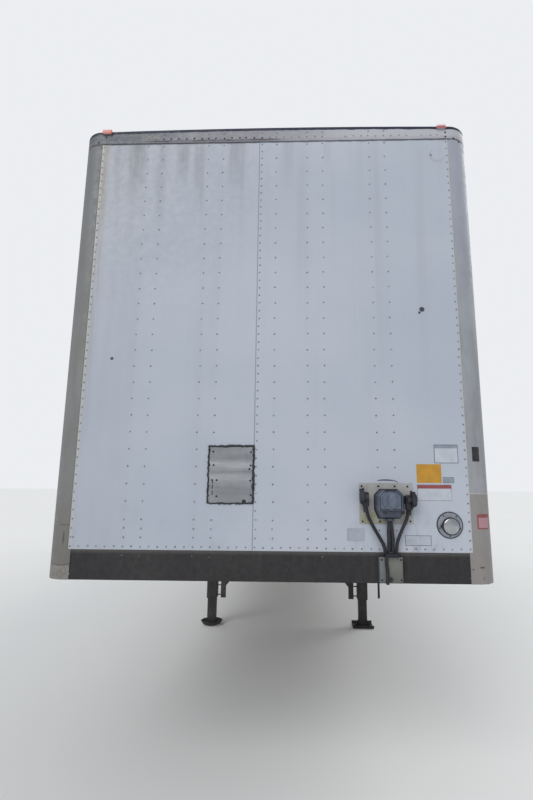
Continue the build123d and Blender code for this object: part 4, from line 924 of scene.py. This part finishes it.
couplings = {
    "boxLow": 1.560,
    "boxHalf": 0.0835,
    "footHalf": 0.062,
    "corner": 0.034,
    "boxDepth": 0.062,
    "boxSteps": ((0.010, 0.0), (0.0, 0.003), (0.038, 0.003), (0.009, 0.004), (0.005, 0.006)),  # forward, inset
    "socketHeight": 1.661,
    "lidHalf": 0.0672,
    "lidZ": (1.606, 1.716),
    "lidCorner": 0.026,
    "lidRelief": ((0.012, 0.001), (0.004, 0.005), (0.0, 0.003), (0.006, 0.004)),  # forward, inset
    "lidDiscs": ((0.016, 0.050, 0.008, 0.95, 1.0, 0.0), (0.024, 0.0455, 0.007, 0.86, 0.62, 0.010),
                 (0.031, 0.038, 0.004, 0.7, 0.58, 0.010)),  # forward, radius, depth, crown, squeeze, sideways
    "boxScrews": (0.6577, 0.7588),
    "boxScrewZ": 1.597,
    "gladhands": ((0.556, 1.681, -1), (0.799, 1.665, 1)),  # x, z, side that the seal faces
    "hoseStand": 0.025,
    "hoseRadius": 0.0095,
    "cableRadius": 0.0105,
    "plateScrews": ((0.539, 1.741), (0.6345, 1.741), (0.729, 1.741), (0.802, 1.740), (0.541, 1.543),
                    (0.639, 1.543), (0.812, 1.545)),
    "plateScrew": (0.0062, 0.003, 12, 0.7),  # radius, height, segments, crown
    "coverDepth": 0.042,
    "coverScrews": ((0.636, 1.340), (0.743, 1.340), (0.636, 1.232), (0.743, 1.232)),
    "coverScrew": (0.0058, 0.003, 12, 0.6),
    "collars": ((0.660, 1.377, 0.0112), (0.691, 1.377, 0.0225), (0.722, 1.377, 0.0112)),  # x, z, radius
    "dropCollar": (0.661, 1.350, 0.0112),
    "bead": ((0.630, 1.7715, 0.4), (0.640, 1.7755, 0.9), (0.668, 1.7775, 1.2), (0.706, 1.7765, 1.1),
             (0.728, 1.7735, 0.8), (0.744, 1.767, 0.6), (0.752, 1.760, 0.3)),  # x, z, share of its radius
    "beadRadius": 0.0032,
}
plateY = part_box("connector_plate")[0].y
noseLow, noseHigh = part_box("nose_box")
boxX = (noseLow.x + noseHigh.x) / 2
coverY = skinY - couplings["coverDepth"]


def makePlateScrews(sizes):
    bm = bmesh.new()
    for x, z in sizes["plateScrews"]:
        addStud(bm, (x, plateY, z), toFront, *sizes["plateScrew"])
    for x, z in sizes["coverScrews"]:
        addStud(bm, (x, coverY, z), toFront, *sizes["coverScrew"])
    makePiece(bm, "plate_screws", "sealBlack", smooth=True)
    makeTube("plate_bead", [(x, wallFace, z) for x, z, share in sizes["bead"]], sizes["beadRadius"], "labelInk",
             [share for x, z, share in sizes["bead"]])


# A flat shape on the front, stepped forward: each step goes forward and shrinks towards the middle
def addRelief(bm, outline, y, steps, bevel):
    face = bm.faces.new([bm.verts.new((x, y, z)) for x, z in outline])
    for forward, inset in steps:
        grown = bmesh.ops.extrude_face_region(bm, geom=[face])["geom"]
        face = [item for item in grown if isinstance(item, bmesh.types.BMFace)][0]
        bmesh.ops.translate(bm, verts=face.verts[:], vec=(0, -forward, 0))
        if inset:
            middle = face.calc_center_median()
            half = max(abs(vert.co.x - middle.x) for vert in face.verts)
            bmesh.ops.scale(bm, verts=face.verts[:], vec=(1 - inset / half, 1, 1 - inset / half),
                            space=Matrix.Translation(-middle))
    bevelEdges(bm, [edge for edge in bm.edges if edge.calc_face_angle(0) > 0.4], bevel)


def octagon(x, half, z, cut, low=0.0):
    foot, rise = half - low, cut * (1.5 if low else 1)
    return ((x - foot, z[0]), (x + foot, z[0]), (x + half, z[0] + rise), (x + half, z[1] - cut),
            (x + half - cut, z[1]), (x - half + cut, z[1]), (x - half, z[1] - cut), (x - half, z[0] + rise))


def makeNoseBox(sizes):
    socketY, middle, lidTop = plateY - sizes["boxDepth"], sizes["socketHeight"], sizes["lidZ"][1]
    bm = bmesh.new()
    shell = octagon(boxX, sizes["boxHalf"], (sizes["boxLow"], noseHigh.z), sizes["corner"],
                    sizes["boxHalf"] - sizes["footHalf"])
    addRelief(bm, shell, plateY, sizes["boxSteps"], 0.002)
    addStud(bm, (boxX, plateY - sizes["hoseStand"], sizes["boxLow"] + 0.002), downwards, 0.0245, 0.012, 20, 0.9)
    makePiece(bm, "nose_box_shell", "nosePlastic", replaced="nose_box")

    bm = bmesh.new()
    lid = octagon(boxX, sizes["lidHalf"], sizes["lidZ"], sizes["lidCorner"])
    addRelief(bm, lid, socketY + 0.004, sizes["lidRelief"], 0.0015)
    for forward, radius, deep, crown, squeeze, shift in sizes["lidDiscs"]:
        grown = addStud(bm, (boxX + shift, socketY - forward, middle), toFront, radius, deep, 40, crown)
        bmesh.ops.scale(bm, vec=(squeeze, 1, 1), verts=grown, space=Matrix.Translation((-boxX - shift, 0, 0)))
    addBlock(bm, (boxX - 0.027, boxX - 0.023), (socketY - 0.0265, socketY - 0.016),
             (middle - 0.034, middle + 0.040), 0.001)
    addBlock(bm, (boxX - 0.030, boxX + 0.030), (socketY - 0.012, socketY), (lidTop - 0.004, noseHigh.z - 0.002),
             0.003)
    makePiece(bm, "nose_box_lid", "lidPlastic")

    bm = bmesh.new()
    for x in sizes["boxScrews"]:
        addStud(bm, (x, socketY + 0.003, sizes["boxScrewZ"]), toFront, 0.0105, 0.008, 14, 0.85)
    addStud(bm, (boxX - 0.032, socketY - 0.012, noseHigh.z - 0.006), toLeft, 0.0042, 0.064, 12, 1.0)
    makePiece(bm, "nose_box_screws", "sealBlack")


# One gladhand, from its middle on the plate: x goes the way that the seal faces, y to the rear
gladhandBlocks = (  # x, y, z, bevel
    ((-0.020, 0.020), (-0.008, 0.0), (-0.024, 0.024), 0.002),
    ((-0.018, 0.018), (-0.054, -0.014), (-0.056, 0.028), 0.008),
    ((0.010, 0.019), (-0.061, -0.025), (-0.034, 0.034), 0.003),
    ((0.020, 0.036), (-0.054, -0.036), (0.030, 0.046), 0.003),
)
gladhandStuds = (  # x, y, z, facing, radius, height, segments, crown
    (0, -0.006, 0, "front", 0.018, 0.016, 24, 0.9),
    (0, -0.020, 0, "front", 0.015, 0.046, 24, 0.96),
    (-0.013, -0.062, 0, "out", 0.0155, 0.024, 24, 1.0),
    (0.010, -0.062, 0, "out", 0.031, 0.007, 32, 1.2),
    (0.017, -0.062, 0, "out", 0.0378, 0.013, 32, 1.0),
    (0.030, -0.062, 0, "out", 0.0360, 0.005, 32, 0.92),
    (0.010, -0.043, -0.033, "out", 0.019, 0.009, 24, 0.96),
    (0.010, -0.043, 0.033, "out", 0.019, 0.009, 24, 0.96),
    (0.018, -0.043, -0.033, "out", 0.008, 0.010, 12, 0.85),
    (0.018, -0.043, 0.033, "out", 0.008, 0.010, 12, 0.85),
    (0, -0.025, -0.054, "down", 0.0145, 0.016, 6, 1.0),
    (0, -0.025, -0.068, "down", 0.0125, 0.018, 20, 0.94),
    (-0.014, -0.008, 0.0185, "front", 0.004, 0.004, 6, 1.0),
    (0.014, -0.008, 0.0185, "front", 0.004, 0.004, 6, 1.0),
)
gladhandSeals = (
    (0.034, -0.062, 0, "out", 0.027, 0.0016, 32, 0.9),
    (0.0352, -0.062, 0, "out", 0.014, 0.0008, 24, 0.6),
)


def makeGladhands(sizes):
    bm, seals = bmesh.new(), bmesh.new()
    for x, z, side in sizes["gladhands"]:
        facings = {"front": toFront, "out": Vector((side, 0, 0)), "down": downwards}
        for across, deep, up, bevel in gladhandBlocks:
            addBlock(bm, [x + side * value for value in across], [plateY + value for value in deep],
                     [z + value for value in up], bevel)
        for mesh, table in ((bm, gladhandStuds), (seals, gladhandSeals)):
            for across, deep, up, facing, *shape in table:
                addStud(mesh, (x + side * across, plateY + deep, z + up), facings[facing], *shape)
    makePiece(bm, "gladhand_castings", "gladhandMetal", replaced="gladhands")
    makePiece(seals, "gladhand_seals", "sealBlack", smooth=True)


hoseRoutes = (  # name, radius name, shift forward from the hose plane, then x and z of each point
    ("hose_service", "hoseRadius", 0.0, ((0.556, 1.645), (0.561, 1.590), (0.593, 1.522), (0.634, 1.452),
                                         (0.658, 1.408), (0.660, 1.375))),
    ("hose_emergency", "hoseRadius", 0.0, ((0.799, 1.629), (0.794, 1.573), (0.762, 1.512), (0.735, 1.452),
                                           (0.723, 1.410), (0.722, 1.375))),
    ("cable_left", "cableRadius", 0.004, ((0.688, 1.552), (0.684, 1.520), (0.680, 1.490), (0.683, 1.450),
                                          (0.681, 1.415), (0.6805, 1.375))),
    ("cable_right", "cableRadius", 0.0, ((0.694, 1.552), (0.698, 1.520), (0.701, 1.490), (0.704, 1.450),
                                         (0.702, 1.415), (0.7015, 1.375))),
    ("hose_drop", "hoseRadius", None, ((0.661, 1.354), (0.661, 1.318), (0.666, 1.278), (0.666, 1.238),
                                       (0.664, 1.212))),  # over the cover
)


def makeHoses(sizes):
    lineY, dropY = plateY - sizes["hoseStand"], coverY - sizes["hoseRadius"] - 0.002
    for name, radiusName, shift, route in hoseRoutes:
        y = dropY if shift is None else lineY - shift
        makeTube(name, [(x, y, z) for x, z in route], sizes[radiusName], replaced="air_lines")
    bm = bmesh.new()
    for y, collars in ((lineY, sizes["collars"]), (dropY, (sizes["dropCollar"],))):
        for x, z, radius in collars:
            addStud(bm, (x, y, z), upwards, radius, 0.006, 20, 0.95)
    makePiece(bm, "hose_collars", "sealBlack")


holder = {
    "flange": 0.0745,
    "edge": 0.0052,
    "lid": 0.0440,
    "lidShift": (0.004, -0.006),  # sideways and up
    "lidFlat": 0.17,
    "screws": 5,
    "firstScrew": 52,  # degrees
}


def makeHolder(sizes):
    low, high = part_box("document_holder")
    x, z = (low.x + high.x) / 2, (low.z + high.z) / 2
    lid, face = sizes["lid"], sizes["flange"] - sizes["edge"]
    lidX, lidZ = x + sizes["lidShift"][0], z + sizes["lidShift"][1]
    bm = bmesh.new()
    addStud(bm, (x, wallFace, z), toFront, sizes["flange"], 0.0050, 56, 0.985)
    addStud(bm, (lidX, wallFace - 0.0062, lidZ), toFront, lid + 0.0055, 0.0130, 56, 0.97)
    addBlock(bm, (lidX - lid - 0.014, lidX - lid + 0.004), (wallFace - 0.016, wallFace - 0.005),
             (lidZ - 0.008, lidZ + 0.008), 0.002)
    for index in range(sizes["screws"]):
        spot = math.radians(sizes["firstScrew"] + 360 * index / sizes["screws"])
        reach = face - 0.0085
        seat = (x + reach * math.cos(spot), wallFace - 0.0062, z + reach * math.sin(spot))
        addStud(bm, seat, toFront, 0.0046, 0.003, 10)
    makePiece(bm, "document_tube_rings", "sealBlack")

    bm = bmesh.new()
    addStud(bm, (x, wallFace - 0.0045, z), toFront, face, 0.0022, 56, 0.975)
    makePiece(bm, "document_tube_flange", "holderFlange", replaced="document_holder")

    bm = bmesh.new()
    bmesh.ops.create_uvsphere(bm, u_segments=48, v_segments=24, radius=lid)
    bmesh.ops.delete(bm, geom=[vert for vert in bm.verts if vert.co.z < -0.001], context="VERTS")
    rim = bmesh.ops.extrude_edge_only(bm, edges=[edge for edge in bm.edges if edge.is_boundary])["geom"]
    rimVerts = [item for item in rim if isinstance(item, bmesh.types.BMVert)]
    bmesh.ops.translate(bm, verts=rimVerts, vec=(0, 0, -lid * 0.2))
    bmesh.ops.contextual_create(bm, geom=[edge for edge in bm.edges if edge.is_boundary])
    bmesh.ops.scale(bm, vec=(1, 1, sizes["lidFlat"]), verts=bm.verts)
    place = Matrix.Translation((lidX, wallFace - 0.0192, lidZ)) @ facingTurn(toFront)
    bmesh.ops.transform(bm, matrix=place, verts=bm.verts)
    makePiece(bm, "document_tube_lid", "holderChrome", smooth=True)


makePlateScrews(couplings)
makeNoseBox(couplings)
makeGladhands(couplings)
makeHoses(couplings)
makeHolder(holder)
print("couplings made")

# Side walls: lapped sheets, rivet rows, tape

sheetFoot = bottomRailHigh.z  # where the side sheets start
sideWall = {
    "sheetWidth": 1.2192,
    "sheetCount": 13,
    "postPitch": 0.4064,
    "postHalf": 0.019,
    "rowPitch": 0.1016,
    "railPitch": 0.0508,
    "rivet": (0.0052, 0.0022),  # radius and height
    "lapThick": 0.0014,
    "lapFront": 0.0002,
    "railRows": (sheetFoot - 0.022, sheetFoot - 0.060, topRailLow.z + 0.018, sideRailHigh.z - 0.030),
    "tapeLength": 0.9144,
    "tapeThick": 0.0006,
    "tapeZ": (sheetFoot - 0.102, sheetFoot - 0.066),
    "tapeInset": (0.12, 1.12),  # from the wall's front and rear ends
    "tapeCount": 9,
}


def makeSideSkins(sizes):
    front, length = sideLow.y, sideHigh.y - sideLow.y
    for sideName, side in sides:
        face, railFace, lap = side * sideHigh.x, side * halfWidth, side * sizes["lapThick"]
        bm = bmesh.new()
        addBlock(bm, (face, face + lap), (front, front + sizes["sheetWidth"]), (sheetFoot, sideHigh.z))
        for vert in bm.verts:  # each sheet is a thin wedge, so that its rear edge laps the next
            if vert.co.y < front + 0.01 and abs(vert.co.x - face) > sizes["lapThick"] / 2:
                vert.co.x = face + side * sizes["lapFront"]
        sheets = makePiece(bm, "side_sheets_" + sideName, "sideWhite")
        repeat(sheets, sizes["sheetCount"], (0, sizes["sheetWidth"], 0))

        bm = bmesh.new()
        for across in (-sizes["postHalf"], sizes["postHalf"]):
            seat = (face + lap * 0.6, front + sizes["postPitch"] / 2 + across, sheetFoot + 0.06)
            addStud(bm, seat, (side, 0, 0), *sizes["rivet"])
        rivets = makePiece(bm, "side_rivets_" + sideName, "rivetGrey", smooth=True)
        repeat(rivets, int((sideHigh.z - sheetFoot - 0.08) / sizes["rowPitch"]) + 1, (0, 0, sizes["rowPitch"]))
        repeat(rivets, int(length / sizes["postPitch"]), (0, sizes["postPitch"], 0))

        bm = bmesh.new()
        for z in sizes["railRows"]:
            addStud(bm, (railFace, front + 0.03, z), (side, 0, 0), *sizes["rivet"])
        rails = makePiece(bm, "rail_rivets_" + sideName, "rivetGrey", smooth=True)
        repeat(rails, int(length / sizes["railPitch"]), (0, sizes["railPitch"], 0))

        bm = bmesh.new()
        first, last = front + sizes["tapeInset"][0], sideHigh.y - sizes["tapeInset"][1]
        for index in range(sizes["tapeCount"]):
            start = first + (last - first) * index / (sizes["tapeCount"] - 1)
            addBlock(bm, (railFace, railFace + side * sizes["tapeThick"]), (start, start + sizes["tapeLength"]),
                     sizes["tapeZ"])
        makePiece(bm, "side_tape_" + sideName, "sideTape")


makeSideSkins(sideWall)
print("side walls dressed")

# Roof: edge rivets, and sealant along the sides and the front edge

roofTrim = {
    "pitch": 0.0762,
    "rivet": (0.0055, 0.0024),
    "rivetInset": 0.022,
    "bead": (-0.001, 0.0028),  # from the roof's top
    "sideBead": (-0.009, 0.002),  # from the roof's side edge
    "frontBead": (-0.002, 0.012),  # from the roof's front edge
    "cornerGap": 0.1,
}


def makeRoofTrim(sizes):
    top, edgeX = roofHigh.z, roofHigh.x
    beadZ = [top + level for level in sizes["bead"]]
    bm, seal = bmesh.new(), bmesh.new()
    gap = sizes["cornerGap"]
    for side in (1, -1):
        addStud(bm, (side * (edgeX - sizes["rivetInset"]), roofLow.y + 0.12, top), upwards, *sizes["rivet"])
        beadX = [side * (edgeX + across) for across in sizes["sideBead"]]
        addBlock(seal, beadX, (roofLow.y + gap, roofHigh.y), beadZ, 0.001, 1)
    addBlock(seal, (gap - edgeX, edgeX - gap), [roofLow.y + along for along in sizes["frontBead"]], beadZ, 0.001, 1)
    rivets = makePiece(bm, "roof_rivets", "rivetGrey", smooth=True)
    repeat(rivets, int((roofHigh.y - roofLow.y - 0.2) / sizes["pitch"]), (0, sizes["pitch"], 0))
    makePiece(seal, "roof_sealant", "sealBlack")


makeRoofTrim(roofTrim)
print("roof trimmed")

# Tyres with ribbed tread, nuts and hub caps

wheelSizes = {
    "tyreWidth": 0.280,
    "rimWidth": 0.210,
    "rimRadius": 0.286,
    "segments": 84,
    "grooves": (0.078, 0.027, -0.027, -0.078),
    "grooveHalf": 0.0055,
    "grooveDepth": 0.012,
    "zigzag": 0.0028,
    "sidewall": ((0.012, 0.330), (0.003, 0.362), (0.0, 0.384), (0.0025, 0.387), (0.0025, 0.400), (0.0, 0.403),
                 (0.004, 0.436), (0.012, 0.466), (0.016, 0.4665), (0.022, 0.488), (0.028, 0.500)),  # inset, radius
    "nutCount": 10,
    "nutCircle": 0.1429,
    "nutSteps": ((0.0, 0.021, 0.005, 16, 0.9), (0.005, 0.0165, 0.020, 6, 0.95),
                 (0.025, 0.010, 0.014, 10, 0.9)),  # out, radius, height, segments, crown
    "nutsOut": 0.012,
    "hubCircle": 0.0865,
    "hubBoltsOut": 0.136,
    "hubBolt": (0.007, 0.006, 6, 0.95),  # radius, height, segments, crown
    "capSteps": ((-0.004, 0.060, 0.006, 28, 0.94), (-0.001, 0.020, 0.006, 16, 0.8)),
}


def tyreSection(sizes, radius):
    half, rimHalf, seat = sizes["tyreWidth"] / 2, sizes["rimWidth"] / 2, sizes["rimRadius"]
    side = [(rimHalf - 0.0105, seat), (rimHalf - 0.0105, seat + 0.012), (rimHalf + 0.006, seat + 0.018)]
    side += [(half - inset, up) for inset, up in sizes["sidewall"]] + [(half - 0.040, radius - 0.003)]
    width, bottom = sizes["grooveHalf"], radius - sizes["grooveDepth"]
    groove = ((width, radius - 0.0005), (width * 0.55, bottom), (-width * 0.55, bottom), (-width, radius - 0.0005))
    tread = [(middle + across, up) for middle in sizes["grooves"] for across, up in groove]
    return side + tread + [(-across, up) for across, up in reversed(side)]


def makeTyrePair(sizes, place, body, low, high):
    radius, centre = (high.z - low.z) / 2, (low + high) / 2
    middles = (low.x + sizes["tyreWidth"] / 2, high.x - sizes["tyreWidth"] / 2)
    bm = bmesh.new()
    for tyreX in middles:
        ring = [bm.verts.new((tyreX + across, centre.y, centre.z + up)) for across, up in tyreSection(sizes, radius)]
        edges = [bm.edges.new((ring[index], ring[index - 1])) for index in range(len(ring))]
        bmesh.ops.spin(bm, geom=ring + edges, cent=centre, axis=toLeft, angle=2 * math.pi,
                       steps=sizes["segments"], use_merge=True, use_duplicate=False)
    for vert in bm.verts:  # zigzag the grooves
        away = vert.co - centre
        across = min(abs(vert.co.x - tyreX) for tyreX in middles)
        if math.hypot(away.y, away.z) > radius - 0.02 and across < 0.09:
            turn = round(math.atan2(away.z, away.y) * sizes["segments"] / (2 * math.pi))
            vert.co.x += sizes["zigzag"] if turn % 2 else -sizes["zigzag"]
    makePiece(bm, "ribbed_tyres_" + place, "tyreRubber", body, replaced="tyres_" + place)


def makeWheelTrim(sizes, place, body, side, middle, capEnd):
    outward = Vector((side, 0, 0))
    bm = bmesh.new()
    for index in range(sizes["nutCount"]):
        angle = 2 * math.pi * (index + 0.5) / sizes["nutCount"]
        spoke = Vector((0, math.cos(angle), math.sin(angle)))
        seat = middle + outward * sizes["nutsOut"] + spoke * sizes["nutCircle"]
        for out, *shape in sizes["nutSteps"]:
            addStud(bm, seat + outward * out, outward, *shape)
        if index % 2:
            seat = middle + outward * sizes["hubBoltsOut"] + spoke * sizes["hubCircle"]
            addStud(bm, seat, outward, *sizes["hubBolt"])
    makePiece(bm, "wheel_nuts_" + place, "galvanised", body)

    bm = bmesh.new()
    for out, *shape in sizes["capSteps"]:
        addStud(bm, (capEnd + side * out, middle.y, middle.z), outward, *shape)
    makePiece(bm, "hub_caps_" + place, "gladhandMetal", body)


for axle in ("front", "rear"):
    for sideName, side in sides:
        place = f"{axle}_{sideName}"
        tyreLow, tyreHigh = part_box("tyres_" + place)
        wheelLow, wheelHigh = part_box("wheel_" + place)
        makeTyrePair(wheelSizes, place, "wheels_" + place, tyreLow, tyreHigh)
        makeWheelTrim(wheelSizes, place, "wheels_" + place, side, (tyreLow + tyreHigh) / 2,
                      wheelHigh.x if side > 0 else wheelLow.x)
print("tyres and nuts made")

# Bogie: a valve on the air tank, with a line from it to each brake chamber

airSizes = {
    "lineRadius": 0.0065,
    "valveHalf": 0.048,
    "valveY": (-0.006, 0.052),  # from the tank's rear
    "valveZ": (0.875, 0.955),
    "valveTop": (0.950, 0.030, 0.028, 24, 0.9),  # z, radius, height, segments, crown
    "valveFoot": (0.880, 0.018, 0.020, 20, 0.9),
    "port": (0.011, 0.018, 6, 1.0),
    "portZs": (0.905, 0.935),
    "chamberPort": (0.012, 0.022, 6, 1.0),
    "lines": (  # name and points, on the trailer's left
        ("front", ((0.045, 3.515, 0.905), (0.110, 3.560, 0.890), (0.190, 3.560, 0.845), (0.250, 3.500, 0.805),
                   (0.290, 3.425, 0.790), (0.322, 3.400, 0.735), (0.330, 3.425, 0.680), (0.330, 3.476, 0.660))),
        ("rear", ((0.045, 3.515, 0.935), (0.120, 3.600, 0.950), (0.200, 3.800, 0.940), (0.235, 4.150, 0.925),
                  (0.255, 4.450, 0.915), (0.290, 4.610, 0.860), (0.325, 4.650, 0.755), (0.330, 4.670, 0.690),
                  (0.330, 4.721, 0.660))),
    ),
}


def makeAirLines(sizes):
    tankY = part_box("air_tank")[1].y
    half = sizes["valveHalf"]
    bm = bmesh.new()
    addBlock(bm, (-half, half), [tankY + along for along in sizes["valveY"]], sizes["valveZ"], 0.008)
    for facing, (z, *shape) in ((upwards, sizes["valveTop"]), (downwards, sizes["valveFoot"])):
        addStud(bm, (0, tankY + 0.020, z), facing, *shape)
    for sideName, side in sides[::-1]:
        for z in sizes["portZs"]:
            addStud(bm, (side * 0.040, tankY + 0.033, z), (side, 0, 0), *sizes["port"])
        for name, line in sizes["lines"]:
            points = [(side * x, y, z) for x, y, z in line]
            addStud(bm, points[-1], toFront, *sizes["chamberPort"])
            makeTube(f"brake_line_{name}_{sideName}", points, sizes["lineRadius"], body="bogie")
    makePiece(bm, "brake_valve", "gladhandMetal", "bogie")


makeAirLines(airSizes)
print("air lines made")

# Landing gear: bolts and the grip of the crank

legSizes = {
    "plateBolt": 0.011,
    "gearboxBolt": 0.008,
    "tubeWidth": 0.127,
    "gearboxDeep": 0.022,
    "gearboxBolts": ((0.018, 0.109), (0.83, 0.93, 1.03)),  # distances in from the outside, heights
    "plateBolts": ((-0.13, -0.09, 0.09, 0.13), (1.115, 1.155)),  # distances from the middle, heights
    "gripRadius": 0.0135,
    "gripLength": 0.21,
    "gripCollar": (0.560, 0.575),
}


def makeLegBolts(sizes):
    shaftLow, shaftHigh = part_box("cross_shaft")
    middleY = (shaftLow.y + shaftHigh.y) / 2
    bm = bmesh.new()
    for sideName, side in sides:
        low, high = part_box("leg_" + sideName)
        outer = high.x if side > 0 else low.x
        tubeFront = middleY - sizes["tubeWidth"] / 2 - sizes["gearboxDeep"]
        plateX = outer - side * (sizes["tubeWidth"] + 0.005)
        for across in sizes["gearboxBolts"][0]:
            for z in sizes["gearboxBolts"][1]:
                addBolt(bm, (outer - side * across, tubeFront, z), toFront, sizes["gearboxBolt"])
        for along in sizes["plateBolts"][0]:
            for z in sizes["plateBolts"][1]:
                addBolt(bm, (plateX, middleY + along, z), (-side, 0, 0), sizes["plateBolt"])
    makePiece(bm, "leg_bolts", "bareSteel")

    bm = bmesh.new()
    low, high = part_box("crank")
    gripSeat = (high.x - 0.008, low.y + 0.008, low.z + 0.002)
    addStud(bm, gripSeat, upwards, sizes["gripRadius"], sizes["gripLength"], 14, 0.95)
    addBlock(bm, (high.x - 0.018, high.x + 0.002), (low.y - 0.004, low.y + 0.020), sizes["gripCollar"], 0.002)
    makePiece(bm, "crank_grip", "bumperRubber")


makeLegBolts(legSizes)
print("landing gear dressed")

# Rear end: gaskets, hinge bolts and tape

rearSizes = {
    "gasketWidth": 0.016,
    "gasketY": (-0.006, 0.0024),  # from the door's outer face
    "gasketLap": 0.0015,
    "hingeZs": (1.453, 2.056, 2.659, 3.262, 3.865),
    "hingeBolts": (0.055, 0.14, 0.26),  # in from the door's hinge edge
    "hingeBolt": (0.0095, 0.004, 12, 0.6),  # radius, height, segments, crown
    "hingeProud": 0.008,
    "tapeThick": 0.0006,
    "doorTape": ((0.06, 1.13), (1.57, 1.62)),
    "guardTape": (0.486, 0.534),
}


def makeRearTrim(sizes):
    width, lap, thick = sizes["gasketWidth"], sizes["gasketLap"], sizes["tapeThick"]
    for sideName, side in sides:
        low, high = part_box("door_" + sideName)
        faceY, body = high.y, "door_" + sideName
        y = [faceY + level for level in sizes["gasketY"]]
        bm = bmesh.new()
        for x in ((low.x - lap, low.x + width), (high.x - width, high.x + lap)):
            addBlock(bm, x, y, (low.z, high.z), 0.002)
        for z in ((low.z - lap, low.z + width), (high.z - width, high.z + lap)):
            addBlock(bm, (low.x, high.x), y, z, 0.002)
        makePiece(bm, "door_gasket_" + sideName, "sealBlack", body)
        bm = bmesh.new()
        outer = high.x if side > 0 else low.x
        for hingeZ in sizes["hingeZs"]:
            for across in sizes["hingeBolts"]:
                seat = (outer - side * across, faceY + sizes["hingeProud"], hingeZ)
                addStud(bm, seat, toRear, *sizes["hingeBolt"])
        makePiece(bm, "hinge_bolts_" + sideName, "galvanised", body, smooth=True)
        bm = bmesh.new()
        tapeX, tapeZ = sizes["doorTape"]
        addBlock(bm, [side * x for x in tapeX], (faceY, faceY + thick), tapeZ)
        makePiece(bm, "door_tape_" + sideName, "rearTape", body)
    bm = bmesh.new()
    low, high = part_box("impact_guard")
    addBlock(bm, (low.x + 0.02, high.x - 0.02), (high.y, high.y + thick), sizes["guardTape"])
    makePiece(bm, "guard_tape", "rearTape")


makeRearTrim(rearSizes)
print("rear end dressed")
